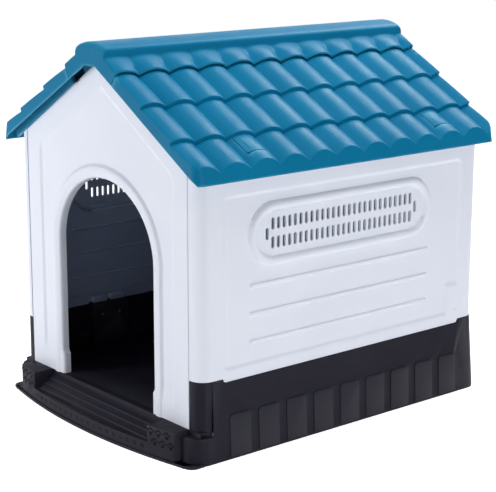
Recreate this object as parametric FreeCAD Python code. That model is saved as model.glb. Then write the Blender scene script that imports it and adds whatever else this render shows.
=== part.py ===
import FreeCAD, Part
import math
import os

# Outdoor pet house: tray base, four wall panels, ridge cap and two lifting roof panels.
# Millimetres, +Z up. The doorway faces -Y and the origin is under the middle of the whole house.

os.makedirs("parts", exist_ok=True)
Vec = FreeCAD.Vector

# Whole house
wall_half_width = 327.0
wall_depth = 795.0
front_half_width = 290.0
corner_radius = 32.0
porch_reach = 69.0
front_verge_reach = 26.0
rear_verge_reach = 18.0
deck_height = 67.0
side_sill_height = 162.0
post_height = 170.0
overrun = 6.0
seam_gap = 0.3

# Wall panels
wall_skin = 3.5
field_depth = 4.0
panel_depth = 18.0
flange_wall = 4.0
gable_drop = 36.0
apex_radius = 40.0
front_border = 50.0
side_border = 62.0
side_field_bottom = 188.0
side_field_top = 536.0
rib_height = 9.0
rib_proud = 3.0

# Doorway
door_half_width = 171.0
door_spring_height = 375.0
door_rise = 157.0
door_rim = 29.0
jamb_foot_depth = 6.0
jamb_foot_height = 45.0

# Side vent and side ribs
vent_offset = 15.0
vent_length = 513.0
vent_height = 131.0
vent_mid_height = 449.0
vent_rim = 15.0
vent_rim_proud = 6.0
slot_pitch = 14.95
slot_width = 6.0
slot_height = 23.0
slot_row_gap = 39.0
slot_count = 27
side_rib_length = 508.0
lowest_rib_height = 232.0
rib_pitch = 58.0
side_rib_count = 3
rear_rib_length = 380.0
boss_width = 36.0
boss_height = 66.0

# Wall fingers and the sockets of the tray
finger_width = 38.0
finger_wall = 5.0
finger_spread = 48.0
finger_depth = 57.0
finger_head = 12.0
finger_setback = 8.0
finger_clearance = 0.4
socket_width = 100.0
socket_inset = 223.0
socket_wall = 6.0
socket_rise = 5.0

# Tray base
tray_skin = 4.5
tray_side_proud = 2.0
tray_flare = 8.0
tray_rear_proud = 2.0
foot_reach = 18.0
foot_height = 57.0
post_run = 30.0
ear_run = 58.0
floor_thickness = 4.0
floor_rib_wall = 3.0
floor_rib_depth = 10.0
floor_rib_shares = (-0.5, 0.0, 0.5)
pad_count = 9
pad_pitch = 75.4
pad_width = 54.0
pad_top = 94.0
pad_bottom = 6.0
pad_proud = 3.0
pad_corner = 8.0

# Porch
porch_half_chord = 317.0
porch_sagitta = 35.0
porch_flange = 6.0
porch_corner = 20.0
porch_edge = 5.0
block_inner = 213.0
block_outer = 287.0
lip_height = 30.0
lip_width = 12.0
ramp_low = 24.0
ramp_high = 58.0
tread_width = 5.0
tread_rise = 1.6
tread_count = 3
anchor_hole_radius = 4.0
anchor_inset_x = 25.0
anchor_out_y = 30.0

# Roof
roof_pitch_angle = 31.7
cap_lip_half_span = 93.0
cap_lip_height = 766.0
ridge_height = 817.0
ridge_half_width = 51.0
ridge_edge_height = 805.0
cap_row_length = 47.0
cap_row_drop = 3.0
row_lengths = (103.0, 111.0, 85.0)
row_step = 8.0
tile_pitch = 75.2
tile_rise = 13.0
first_trough = 62.7
roof_skin = 3.5
fascia_wall = 4.0
fascia_depth = 35.0
cap_fascia_bottom = 768.0
cap_fascia_flat = 20.0
eave_half_width = 354.0
eave_bottom_height = 572.0
eave_corner = 20.0
rest_rib_wall = 8.0
rest_gap = 0.3

# Roof pivots under the cap's lip
lip_gap = 2.6
pivot_back = 5.0
pivot_depth = 12.0
pivot_pin_radius = 1.8
pivot_fit = 0.06
eye_radius = 3.6
eye_wall = 5.0
eye_gap = 0.6
tongue_length = 10.0
arm_length = 26.0

# Roof latches
latch_troughs = ((1, 2), (8, 9))
latch_width = 47.0
latch_start = 4.0
latch_length = 52.0
latch_side_gap = 0.6
latch_foot_gap = 2.4
latch_pivot_run = 7.0
latch_pivot_depth = 22.0
latch_barrel_radius = 4.5
trunnion_radius = 2.0
trunnion_fit = 0.06
lug_wall = 5.0
lug_gap = 0.6
lug_half_run = 6.0
lug_depth = 28.0
latch_web = 3.0
leg_wall = 4.0
leg_width = 24.0
leg_half_span = 302.0
nib_reach = 3.0
nib_height = 3.6
nib_top = 576.0
catch_gap = 0.5
rail_wall = 4.0

# Screws
screw_radius = 1.8
screw_fit = 0.05
screw_head_radius = 3.6
screw_head_height = 2.4
corner_screw_heights = (250.0, 400.0, 550.0)
corner_screw_depth = 13.0
corner_screw_reach = 11.0
socket_screw_drop = 30.0
socket_screw_reach = 9.0
foot_screw_half_span = 235.0
foot_screw_reach = 10.5
ridge_screw_drop = 16.0
ridge_screw_reach = 18.0
ridge_boss_radius = 8.0

# Places worked out from the sizes above
total_length = porch_reach + wall_depth + rear_verge_reach
front_y = porch_reach - total_length / 2
rear_y = front_y + wall_depth
wall_mid_y = (front_y + rear_y) / 2
verge_front = front_y - front_verge_reach
verge_rear = rear_y + rear_verge_reach
roof_mid_y = (verge_front + verge_rear) / 2
pitch = math.radians(roof_pitch_angle)
panel_inner = wall_half_width - wall_skin
tray_reach = wall_half_width + tray_side_proud + tray_flare + pad_proud + overrun
row_ends = [sum(row_lengths[:count + 1]) for count in range(len(row_lengths))]
row_starts = [0.0] + row_ends[:-1]
tile_radius = (tile_pitch ** 2 / 4 + tile_rise ** 2) / (2 * tile_rise)
socket_ys = (front_y + socket_inset, rear_y - socket_inset)


# Plain solids
def box(x0, x1, y0, y1, z0, z1):
    return Part.makeBox(x1 - x0, y1 - y0, z1 - z0, Vec(x0, y0, z0))


def prism_xz(points, y0, y1):
    corners = [Vec(x, y0, z) for x, z in points]
    wire = Part.makePolygon(corners + corners[:1])
    return Part.Face(wire).extrude(Vec(0, y1 - y0, 0))


def prism_yz(points, x0, x1):
    corners = [Vec(x0, y, z) for y, z in points]
    wire = Part.makePolygon(corners + corners[:1])
    return Part.Face(wire).extrude(Vec(x1 - x0, 0, 0))


def rod(start, direction, radius, length):
    return Part.makeCylinder(radius, length, start, direction)


def join(solids):
    whole = solids[0]
    for solid in solids[1:]:
        whole = whole.fuse(solid)
    return whole.removeSplitter()


def across(shape):
    """Mirror image on the other side of the house."""
    return shape.mirror(Vec(0, 0, 0), Vec(1, 0, 0))


def turned(shape):
    """The same moulding turned half round about the middle of the roof."""
    copy = shape.copy()
    copy.rotate(Vec(0, roof_mid_y, 0), Vec(0, 0, 1), 180)
    return copy


def stadium_x(y_mid, z_mid, length, height, x0, x1):
    """Bar with round ends, its long way along Y, between two X planes."""
    radius = height / 2
    run = max(length / 2 - radius, 0)
    ends = [rod(Vec(x0, y_mid + side * run, z_mid), Vec(1, 0, 0), radius, x1 - x0) for side in (-1, 1)]
    middle = box(x0, x1, y_mid - run, y_mid + run, z_mid - radius, z_mid + radius)
    return join([middle] + ends)


def screw(seat, direction, reach):
    """Pan head screw whose head stands on the seat and whose shank points along the direction."""
    head = rod(seat - direction * screw_head_height, direction, screw_head_radius, screw_head_height)
    return head.fuse(rod(seat, direction, screw_radius, reach)).removeSplitter()


def screw_hole(seat, direction, reach):
    return rod(seat, direction, screw_radius + screw_fit, reach + screw_fit)


# Roof frame: run is measured down the slope from the cap's lip, rise square to the tile line
def slope_point(run, rise):
    x = cap_lip_half_span + run * math.cos(pitch) + rise * math.sin(pitch)
    z = cap_lip_height - run * math.sin(pitch) + rise * math.cos(pitch)
    return x, z


def slope_height(x, rise):
    """Height of the line that lies `rise` off the tile line, at one X."""
    run = (x - cap_lip_half_span - rise * math.sin(pitch)) / math.cos(pitch)
    return slope_point(run, rise)[1]


def slope_box(run0, run1, rise0, rise1, y0, y1):
    corners = ((run0, rise0), (run1, rise0), (run1, rise1), (run0, rise1))
    return prism_xz([slope_point(run, rise) for run, rise in corners], y0, y1)


# Gable shaped panels
def gable_prism(half_width, inset, bottom, y0, y1):
    """Gable outline with a rounded apex, moved in by `inset`, between two Y planes."""
    half = half_width - inset
    apex = slope_height(0, -gable_drop - inset)
    radius = max(apex_radius - inset, seam_gap)
    touch_x = radius * math.sin(pitch)
    touch_z = apex - touch_x * math.tan(pitch)
    shoulder = slope_height(half, -gable_drop - inset)
    path = [(touch_x, touch_z), (half, shoulder), (half, bottom), (-half, bottom), (-half, shoulder),
            (-touch_x, touch_z)]
    corners = [Vec(x, y0, z) for x, z in path]
    crown = Vec(0, y0, apex - radius * (1 / math.cos(pitch) - 1))
    arc = Part.Arc(corners[-1], crown, corners[0]).toShape()
    wire = Part.Wire(Part.makePolygon(corners).Edges + [arc])
    return Part.Face(wire).extrude(Vec(0, y1 - y0, 0))


def half_ellipse(half_width, rise, y, z):
    """Upper half of an ellipse from its right end to its left end."""
    centre = Vec(0, y, z)
    side = Vec(half_width, y, z)
    top = Vec(0, y, z + rise)
    if half_width >= rise:
        curve = Part.Ellipse(side, top, centre)
        return Part.ArcOfEllipse(curve, 0, math.pi).toShape()
    curve = Part.Ellipse(top, Vec(-half_width, y, z), centre)
    return Part.ArcOfEllipse(curve, -math.pi / 2, math.pi / 2).toShape()


def door_prism(grow, foot, y0, y1):
    """Arched doorway, grown by `grow`, with jamb feet `foot` deep, between two Y planes."""
    half = door_half_width + grow
    low = deck_height - overrun
    knee = deck_height + jamb_foot_height
    right = [(half - foot, low), (half - foot, knee), (half, knee + foot), (half, door_spring_height)]
    if foot == 0:
        right = [(half, low), (half, door_spring_height)]
    left = [(-x, z) for x, z in reversed(right)]
    lines = Part.makePolygon([Vec(x, y0, z) for x, z in left + right]).Edges
    arch = half_ellipse(half, door_rise + grow, y0, door_spring_height)
    wire = Part.Wire(Part.__sortEdges__(lines + [arch]))
    return Part.Face(wire).extrude(Vec(0, y1 - y0, 0))


def depth_span(outer_y, inward, near, far):
    """Two Y planes, in order, at two depths behind a panel's outer face."""
    return sorted((outer_y + inward * near, outer_y + inward * far))


def gable_shell(outer_y, inward, bottom):
    """Gable panel with an edge flange all round, hollow at the back."""
    half = front_half_width - seam_gap
    body = gable_prism(half, 0, bottom, *depth_span(outer_y, inward, 0, panel_depth))
    hollow_span = depth_span(outer_y, inward, wall_skin, panel_depth + overrun)
    hollow = gable_prism(half, flange_wall, bottom + flange_wall, *hollow_span)
    back_span = depth_span(outer_y, inward, 0, field_depth + wall_skin)
    return body, hollow.cut(gable_prism(half, front_border - wall_skin, bottom, *back_span))


def gable_field(outer_y, inward, bottom):
    """Cutter for the sunk field on a gable panel's outer face."""
    span = depth_span(outer_y, inward, -overrun, field_depth)
    return gable_prism(front_half_width, front_border, bottom, *span)


def corner_screws(outer_y, inward, side):
    """Seats and directions of the screws that join a gable panel to a side panel."""
    y = outer_y + inward * corner_screw_depth
    x = side * (front_half_width - seam_gap - flange_wall)
    return [(Vec(x, y, z), Vec(side, 0, 0), corner_screw_reach) for z in corner_screw_heights]


def foot_screws():
    """Screws that come up through the deck into the front panel's feet."""
    y = front_y + corner_screw_depth
    seat_z = deck_height - floor_thickness
    return [(Vec(side * foot_screw_half_span, y, seat_z), Vec(0, 0, 1), foot_screw_reach) for side in (-1, 1)]


def ridge_screws(outer_y, inward):
    """Screws that go through a gable's apex into the saddle of the cap."""
    z = slope_height(0, -gable_drop) - apex_radius * (1 / math.cos(pitch) - 1) - ridge_screw_drop
    y = outer_y + inward * (panel_depth + rest_rib_wall)
    return [(Vec(0, y, z), Vec(0, -inward, 0), ridge_screw_reach)]


def ridge_boss(outer_y, inward):
    """Boss behind a gable's apex that the ridge screw bites into."""
    seat, direction, reach = ridge_screws(outer_y, inward)[0]
    near, far = depth_span(outer_y, inward, wall_skin / 2, panel_depth)
    return rod(Vec(seat.x, near, seat.z), Vec(0, 1, 0), ridge_boss_radius, far - near)


def cut_screws(shape, screws):
    for seat, direction, reach in screws:
        shape = shape.cut(screw_hole(seat, direction, reach))
    return shape


def front_panel():
    bottom = deck_height
    body, hollow = gable_shell(front_y, 1, bottom)
    deep = panel_depth + overrun
    body = body.cut(hollow.cut(door_prism(jamb_foot_depth, 0, front_y, front_y + deep)))
    field = gable_field(front_y, 1, bottom + front_border)
    body = body.cut(field.cut(door_prism(door_rim, 0, front_y - overrun, front_y + deep)))
    body = body.cut(door_prism(0, jamb_foot_depth, front_y - overrun, front_y + deep))
    body = join([body, ridge_boss(front_y, 1)])
    screws = corner_screws(front_y, 1, -1) + corner_screws(front_y, 1, 1) + foot_screws()
    return cut_screws(body, screws + ridge_screws(front_y, 1))


def rear_fingers():
    """Fingers of the rear panel, side by side about the middle."""
    return [finger_y(x, rear_y - wall_skin) for x in finger_places(0)]


def rear_panel():
    bottom = side_sill_height
    body, hollow = gable_shell(rear_y, -1, bottom)
    half = socket_width / 2 + finger_clearance
    notch = box(-half, half, rear_y - panel_depth - overrun, rear_y - wall_skin, bottom - overrun,
                socket_top())
    body = body.cut([hollow, notch])
    field = gable_field(rear_y, -1, bottom + front_border / 2)
    for row in range(side_rib_count):
        z = lowest_rib_height + row * rib_pitch
        rib_box = box(-rear_rib_length / 2, rear_rib_length / 2, rear_y - field_depth,
                      rear_y - field_depth + rib_proud, z - rib_height / 2, z + rib_height / 2)
        field = field.cut(rib_box)
    body = join([body.cut(field), ridge_boss(rear_y, -1)] + rear_fingers())
    screws = corner_screws(rear_y, -1, -1) + corner_screws(rear_y, -1, 1) + socket_screws_rear()
    return cut_screws(body, screws + ridge_screws(rear_y, -1))


# Fingers plug into sockets on the inside of the tray
def finger_places(middle):
    return (middle - finger_spread / 2, middle + finger_spread / 2)


def socket_top():
    return side_sill_height + socket_rise


def finger_x(y, face_x):
    """Finger behind the right wall, hanging from a short head on the wall's inner face."""
    top = socket_top()
    inner = face_x - finger_setback
    head = box(inner - finger_wall, face_x + wall_skin / 2, y - finger_width / 2, y + finger_width / 2,
               top, top + finger_head)
    blade = box(inner - finger_wall, inner, y - finger_width / 2, y + finger_width / 2,
                top - finger_depth, top + finger_head)
    return join([head, blade])


def finger_y(x, face_y):
    """Finger behind the rear wall."""
    top = socket_top()
    inner = face_y - finger_setback
    head = box(x - finger_width / 2, x + finger_width / 2, inner - finger_wall, face_y + wall_skin / 2,
               top, top + finger_head)
    blade = box(x - finger_width / 2, x + finger_width / 2, inner - finger_wall, inner,
                top - finger_depth, top + finger_head)
    return join([head, blade])


def socket_inner_x():
    return panel_inner - finger_setback - finger_wall - finger_clearance - socket_wall


def socket_inner_y():
    return rear_y - wall_half_width + socket_inner_x()


def socket_screws_side(side):
    z = socket_top() - socket_screw_drop
    x = side * socket_inner_x()
    reach = socket_screw_reach
    return [(Vec(x, y, z), Vec(side, 0, 0), reach) for mid in socket_ys for y in finger_places(mid)]


def socket_screws_rear():
    z = socket_top() - socket_screw_drop
    y = socket_inner_y()
    return [(Vec(x, y, z), Vec(0, 1, 0), socket_screw_reach) for x in finger_places(0)]


# Side panels
def side_outline(height0, height1):
    """Wall that wraps both vertical corners, with a flange at each seam, between two heights."""
    seam = front_half_width + seam_gap
    outer = box(seam, wall_half_width, front_y, rear_y, height0, height1)
    inner = box(seam + flange_wall, panel_inner, front_y + wall_skin, rear_y - wall_skin, height0, height1)
    outer = round_uprights(outer, wall_half_width, corner_radius)
    inner = round_uprights(inner, panel_inner, max(corner_radius - wall_skin, seam_gap))
    open_side = box(seam - overrun, seam + flange_wall + seam_gap, front_y + panel_depth,
                    rear_y - panel_depth, height0, height1)
    return outer.cut(inner).cut(open_side)


def round_uprights(block, x, radius):
    """Rounds the upright edges of a block that stand at one X."""
    edges = [edge for edge in block.Edges
             if all(abs(vertex.X - x) < seam_gap for vertex in edge.Vertexes)
             and abs(edge.Vertexes[0].Z - edge.Vertexes[-1].Z) > seam_gap]
    return block.makeFillet(radius, edges)


def vent_slots():
    """Cutters for two rows of upright slots and one slot at each end between the rows."""
    middle = wall_mid_y - vent_offset
    x0 = panel_inner - field_depth - overrun
    x1 = wall_half_width + overrun
    places = []
    for index in range(slot_count):
        y = middle + (index - (slot_count - 1) / 2) * slot_pitch
        places += [(y, vent_mid_height + side * slot_row_gap / 2) for side in (-1, 1)]
    half_field = (slot_count + 1) / 2 * slot_pitch
    places += [(middle + side * half_field, vent_mid_height) for side in (-1, 1)]
    return Part.makeCompound([slot_x(y, z, x0, x1) for y, z in places])


def slot_x(y, z, x0, x1):
    """One upright slot with round ends."""
    radius = slot_width / 2
    run = slot_height / 2 - radius
    bar = box(x0, x1, y - radius, y + radius, z - run, z + run)
    ends = [rod(Vec(x0, y, z + side * run), Vec(1, 0, 0), radius, x1 - x0) for side in (-1, 1)]
    return join([bar] + ends)


def side_field():
    """Cutter for the sunk field of a side panel, which leaves the ribs and the corner boss."""
    face = wall_half_width - field_depth
    field = box(face, wall_half_width + overrun, front_y + side_border, rear_y - side_border,
                side_field_bottom, side_field_top)
    for row in range(side_rib_count):
        z = lowest_rib_height + row * rib_pitch
        field = field.cut(stadium_x(wall_mid_y - vent_offset, z, side_rib_length, rib_height,
                                    face, face + rib_proud))
    boss = box(face, face + rib_proud, rear_y - side_border - boss_width, rear_y - side_border,
               side_field_bottom, side_field_bottom + boss_height)
    return field.cut(boss)


def field_backing():
    """Inner step of a side panel behind its sunk field."""
    face = wall_half_width - field_depth
    return box(face - wall_skin, panel_inner + wall_skin / 2, front_y + side_border - wall_skin,
               rear_y - side_border + wall_skin, side_field_bottom - wall_skin, side_field_top + wall_skin)


def vent_rim_ring():
    face = wall_half_width - field_depth
    middle = wall_mid_y - vent_offset
    outer = stadium_x(middle, vent_mid_height, vent_length, vent_height, face - wall_skin / 2,
                      face + vent_rim_proud)
    inner = stadium_x(middle, vent_mid_height, vent_length - 2 * vent_rim, vent_height - 2 * vent_rim,
                      face, face + vent_rim_proud + overrun)
    return outer.cut(inner)


def above_walls():
    """Everything above the sloping tops of the side walls."""
    x0 = front_half_width - overrun
    x1 = wall_half_width + overrun
    high = slope_height(x0, 0)
    points = [(x0, slope_height(x0, -gable_drop)), (x1, slope_height(x1, -gable_drop)), (x1, high),
              (x0, high)]
    return prism_xz(points, front_y - overrun, rear_y + overrun)


def catch_rail():
    """Inward rail at the wall's top. Its edge lies along the latch nib's path as the roof lifts."""
    nib_x = leg_half_span + leg_wall + nib_reach
    pivot_x, pivot_z = pivot_centre()
    lean = (pivot_z - nib_top) / (nib_x - pivot_x)
    low = nib_top + catch_gap
    high = low + rail_wall
    edge = nib_x + catch_gap + catch_gap * lean
    outer = wall_half_width - wall_skin / 2
    points = [(edge, low), (outer, low), (outer, high), (edge + rail_wall * lean, high)]
    return prism_xz(points, front_y + side_border, rear_y - side_border)


def side_panel():
    shell = side_outline(side_sill_height, slope_height(front_half_width, 0)).cut(above_walls())
    for y0, y1 in ((front_y - overrun, front_y + ear_run), (rear_y - ear_run, rear_y + overrun)):
        low = box(front_half_width - overrun, wall_half_width + overrun, y0, y1,
                  side_sill_height - overrun, post_height)
        shell = shell.cut(low)
    shell = join([shell, field_backing()]).cut(side_field())
    shell = join([shell, vent_rim_ring(), catch_rail()]).cut(vent_slots())
    fingers = [finger_x(y, panel_inner) for middle in socket_ys for y in finger_places(middle)]
    shell = join([shell] + fingers)
    screws = corner_screws(front_y, 1, 1) + corner_screws(rear_y, -1, 1) + socket_screws_side(1)
    return cut_screws(shell, screws)


# Tray base
def rounded_plan(half_width, y0, y1, radius, z):
    """Rounded rectangle as a wire at one height."""
    x = half_width
    run = radius * (1 - math.sqrt(0.5))
    lines = [((x - radius, y0), (-x + radius, y0)), ((-x, y0 + radius), (-x, y1 - radius)),
             ((-x + radius, y1), (x - radius, y1)), ((x, y1 - radius), (x, y0 + radius))]
    turns = [(-x + run, y0 + run), (-x + run, y1 - run), (x - run, y1 - run), (x - run, y0 + run)]
    edges = []
    for index, (start, end) in enumerate(lines):
        after = lines[(index + 1) % len(lines)][0]
        edges.append(Part.makeLine(Vec(*start, z), Vec(*end, z)))
        edges.append(Part.Arc(Vec(*end, z), Vec(*turns[index], z), Vec(*after, z)).toShape())
    return Part.Wire(edges)


def tray_block(inset, z0, z1):
    """Flared tray body, moved in by `inset`, between two heights."""
    wires = []
    for z in (z0, z1):
        flare = tray_flare * (1 - z / side_sill_height)
        half = wall_half_width + tray_side_proud + flare - inset
        radius = corner_radius + tray_side_proud - inset
        back = rear_y + tray_rear_proud + flare - inset
        wires.append(rounded_plan(half, front_y - foot_reach + inset, back, max(radius, seam_gap), z))
    return Part.makeLoft(wires, True, True)


def corner_posts():
    """Front posts in line with the white corners, standing on the proud feet."""
    solid = rounded_box(wall_half_width, front_y, front_y + ear_run, foot_height, post_height)
    middle = box(-front_half_width - seam_gap, front_half_width + seam_gap, front_y - overrun,
                 front_y + ear_run + overrun, foot_height - overrun, post_height + overrun)
    return solid.cut(middle)


def rounded_box(half_width, y0, y1, z0, z1):
    block = box(-half_width, half_width, y0, y1, z0, z1)
    edges = [edge for edge in block.Edges
             if all(abs(vertex.Y - y0) < seam_gap for vertex in edge.Vertexes)
             and abs(edge.Vertexes[0].Z - edge.Vertexes[-1].Z) > seam_gap]
    return block.makeFillet(corner_radius, edges)


def tray_walls():
    """Foot, side walls and rear wall as one solid block, lower along the side sills."""
    foot = tray_block(0, 0, foot_height)
    upper = tray_block(0, foot_height - overrun, post_height)
    upper = upper.cut(box(-tray_reach, tray_reach, front_y - porch_reach, front_y + post_run,
                          foot_height, post_height + overrun))
    upper = upper.cut(box(-tray_reach, tray_reach, front_y + ear_run, rear_y - ear_run,
                          side_sill_height, post_height + overrun))
    half = front_half_width + seam_gap
    upper = upper.cut(box(-half, half, rear_y - ear_run, rear_y + porch_reach,
                          side_sill_height, post_height + overrun))
    return join([foot, upper, corner_posts()])


def cabin_space():
    """Space above the deck, inside the tray's walls and behind its front posts."""
    top = post_height + overrun
    inside = tray_block(tray_skin, deck_height, top)
    inside = inside.common(box(-tray_reach, tray_reach, front_y + post_run, rear_y + porch_reach,
                               deck_height, top))
    behind_posts = rounded_box(wall_half_width - tray_skin, front_y + tray_skin, front_y + ear_run,
                               deck_height, top)
    half = front_half_width + seam_gap
    doorway = box(-half, half, front_y - porch_reach, front_y + ear_run, deck_height, top)
    return join([inside, behind_posts, doorway])


def under_space():
    """Space under the floor, lower at the front where the foot's ledge runs round the posts."""
    step = front_y + post_run
    low = tray_block(tray_skin, -overrun, foot_height - floor_thickness)
    high = tray_block(tray_skin, -overrun, deck_height - floor_thickness)
    behind = box(-tray_reach, tray_reach, step, rear_y + porch_reach, -overrun, deck_height)
    return [low, high.common(behind)]


def deck_front():
    """Front of the deck under the front panel, with the riser that closes it down to the foot."""
    half = wall_half_width - tray_skin / 2
    plate = box(-half, half, front_y, front_y + ear_run, deck_height - floor_thickness, deck_height)
    low = foot_height - floor_thickness
    front_riser = box(-half, half, front_y, front_y + tray_skin, low, deck_height)
    step = front_y + post_run
    back_riser = box(-half, half, step - tray_skin, step, low, deck_height)
    return [plate, front_riser, back_riser]


def floor_ribs():
    """Shallow ribs under the floor, along the tray and across it."""
    top = deck_height - floor_thickness / 2
    low = deck_height - floor_thickness - floor_rib_depth
    half = wall_half_width - tray_skin / 2
    wall = floor_rib_wall / 2
    ribs = []
    for share in floor_rib_shares:
        x = share * wall_half_width
        y = wall_mid_y + share * wall_depth / 2
        ribs.append(box(x - wall, x + wall, front_y + post_run - wall, rear_y - wall, low, top))
        ribs.append(box(-half, half, y - wall, y + wall, low, top))
    return ribs


def side_pads():
    """Raised pads along both sides of the tray."""
    first = wall_mid_y - (pad_count - 1) / 2 * pad_pitch
    outer = tray_block(-pad_proud, 0, post_height)
    pads = []
    for index in range(pad_count):
        y = first + index * pad_pitch
        for side in (-1, 1):
            x0, x1 = sorted((side * wall_half_width, side * tray_reach))
            block = box(x0, x1, y - pad_width / 2, y + pad_width / 2, pad_bottom, pad_top)
            edges = [edge for edge in block.Edges
                     if all(abs(vertex.Z - pad_top) < seam_gap for vertex in edge.Vertexes)
                     and abs(edge.Vertexes[0].X - edge.Vertexes[-1].X) > seam_gap]
            pads.append(block.makeFillet(pad_corner, edges).common(outer))
    return pads


# Porch
def porch_radius():
    return (porch_half_chord ** 2 + porch_sagitta ** 2) / (2 * porch_sagitta)


def porch_disc(inset, z0, z1):
    """Disc whose edge is the porch's front curve, moved in by `inset`."""
    radius = porch_radius()
    centre = Vec(0, front_y - porch_reach + radius, z0)
    return rod(centre, Vec(0, 0, 1), radius - inset, z1 - z0)


def porch_zone(x0, x1, z0, z1):
    return box(x0, x1, front_y - porch_reach - overrun, front_y + tray_skin, z0, z1)


def porch_flange_plate():
    half = wall_half_width + tray_side_proud + tray_flare
    plate = porch_zone(-half, half, 0, porch_flange).common(porch_disc(0, 0, porch_flange))
    edges = [edge for edge in plate.Edges
             if all(abs(abs(vertex.X) - half) < seam_gap for vertex in edge.Vertexes)
             and abs(edge.Vertexes[0].Z - edge.Vertexes[-1].Z) > seam_gap
             and edge.Vertexes[0].Y < front_y]
    return plate.makeFillet(porch_corner, edges)


def ramp_profile(lower):
    """Side view of the ramp from the lip up to the deck, moved down by `lower`."""
    foot = front_y - porch_reach + porch_edge + lip_width
    far = front_y - porch_reach - overrun
    back = front_y + tray_skin
    return [(far, 0), (far, ramp_low - lower), (foot, ramp_low - lower),
            (front_y, ramp_high - lower), (back, ramp_high - lower), (back, 0)]


def above_ramp():
    """Space over the ramp, between the blocks and up to the deck's riser."""
    foot, top = ramp_profile(0)[2:4]
    far = ramp_profile(0)[1]
    points = [far, foot, top, (front_y, deck_height + overrun), (far[0], deck_height + overrun)]
    return prism_yz(points, -block_inner, block_inner)


def porch_mass(inset):
    """Blocks beside the doorway, ramp between them and its front lip, moved in by `inset`."""
    solids = []
    edge = porch_edge + inset
    for side in (-1, 1):
        x0, x1 = sorted((side * (block_inner + inset), side * (block_outer - inset)))
        zone = porch_zone(x0, x1, 0, deck_height - inset)
        solids.append(zone.common(porch_disc(edge, 0, deck_height)))
    half = block_inner + floor_thickness - inset
    ramp = prism_yz(ramp_profile(inset), -half, half)
    solids.append(ramp.common(porch_disc(edge, 0, deck_height)))
    if inset == 0:
        zone = porch_zone(-half, half, 0, lip_height)
        ring = porch_disc(edge, 0, lip_height).cut(porch_disc(edge + lip_width, 0, lip_height))
        solids.append(zone.common(ring))
    return solids


def treads():
    """Anti-slip ribs across the ramp."""
    foot = front_y - porch_reach + porch_edge + lip_width
    half = block_inner - lip_width
    ribs = []
    for index in range(tread_count):
        share = (index + 1) / (tread_count + 1)
        y = foot + share * (front_y - foot)
        z = ramp_low + share * (ramp_high - ramp_low)
        ribs.append(box(-half, half, y - tread_width / 2, y + tread_width / 2, z - tread_width,
                        z + tread_rise))
    return ribs


def anchor_places():
    x = wall_half_width + tray_side_proud + tray_flare - anchor_inset_x
    return [(side * x, front_y - anchor_out_y) for side in (-1, 1)]


def side_sockets():
    """Boxes inside the tray's side walls, with a slot for each wall finger."""
    boxes = []
    slots = []
    inner = socket_inner_x()
    blade = panel_inner - finger_setback
    for middle in socket_ys:
        boxes.append(box(inner, wall_half_width - tray_skin / 2, middle - socket_width / 2,
                         middle + socket_width / 2, deck_height - floor_thickness / 2, socket_top()))
        for y in finger_places(middle):
            half = finger_width / 2 + finger_clearance
            slots.append(box(blade - finger_wall - finger_clearance, blade + finger_clearance, y - half,
                             y + half, socket_top() - finger_depth - finger_clearance,
                             socket_top() + overrun))
    room = box(panel_inner - finger_clearance, wall_half_width, front_y, rear_y, side_sill_height,
               socket_top() + overrun)
    cuts = slots + [room]
    solids = [block.cut(cuts) for block in boxes]
    return solids + [across(solid) for solid in solids], slots + [across(slot) for slot in slots]


def rear_socket():
    """Box inside the tray's rear wall, with a slot for each finger of the rear panel."""
    inner = socket_inner_y()
    blade = rear_y - wall_skin - finger_setback
    block = box(-socket_width / 2, socket_width / 2, inner, rear_y - tray_skin / 2,
                deck_height - floor_thickness / 2, socket_top())
    slots = []
    for x in finger_places(0):
        half = finger_width / 2 + finger_clearance
        slots.append(box(x - half, x + half, blade - finger_wall - finger_clearance, blade + finger_clearance,
                         socket_top() - finger_depth - finger_clearance, socket_top() + overrun))
    room = box(-wall_half_width, wall_half_width, rear_y - wall_skin - finger_clearance, rear_y,
               side_sill_height, socket_top() + overrun)
    return block.cut(slots + [room]), slots


def base_tray():
    body = tray_walls().cut([cabin_space(), above_ramp()] + under_space())
    hollow = [solid.cut(porch_zone(-tray_reach, tray_reach, -overrun, 0)) for solid in
              porch_mass(tray_skin)]
    porch = join(porch_mass(0) + treads())
    side_boxes, side_slots = side_sockets()
    rear_box, rear_slots = rear_socket()
    parts = [body, porch, porch_flange_plate(), rear_box] + deck_front() + floor_ribs() + side_pads()
    tray = join(parts + side_boxes).cut(hollow)
    hole_length = porch_flange + 2 * overrun
    for x, y in anchor_places():
        tray = tray.cut(rod(Vec(x, y, -overrun), Vec(0, 0, 1), anchor_hole_radius, hole_length))
    screws = socket_screws_side(1) + socket_screws_side(-1) + socket_screws_rear() + foot_screws()
    return cut_screws(tray, screws)


# Tiles
def tile_drop(y, inside):
    """How far the tile surface lies under its crest line at one Y, on the tile that `inside` lies on."""
    trough = verge_front + first_trough
    crest = trough + (math.floor((inside - trough) / tile_pitch) + 0.5) * tile_pitch
    return tile_radius - math.sqrt(tile_radius ** 2 - (y - crest) ** 2)


def deepest_drop(y0, y1):
    return max(tile_drop(y0, y0), tile_drop(y1, y1))


def wave_breaks(y0, y1):
    """Y of the troughs between two ends, with the ends."""
    trough = verge_front + first_trough
    first = math.ceil((y0 - trough) / tile_pitch)
    breaks = [y0]
    while trough + first * tile_pitch < y1 - seam_gap:
        y = trough + first * tile_pitch
        if y > y0 + seam_gap:
            breaks.append(y)
        first += 1
    return breaks + [y1]


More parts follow.
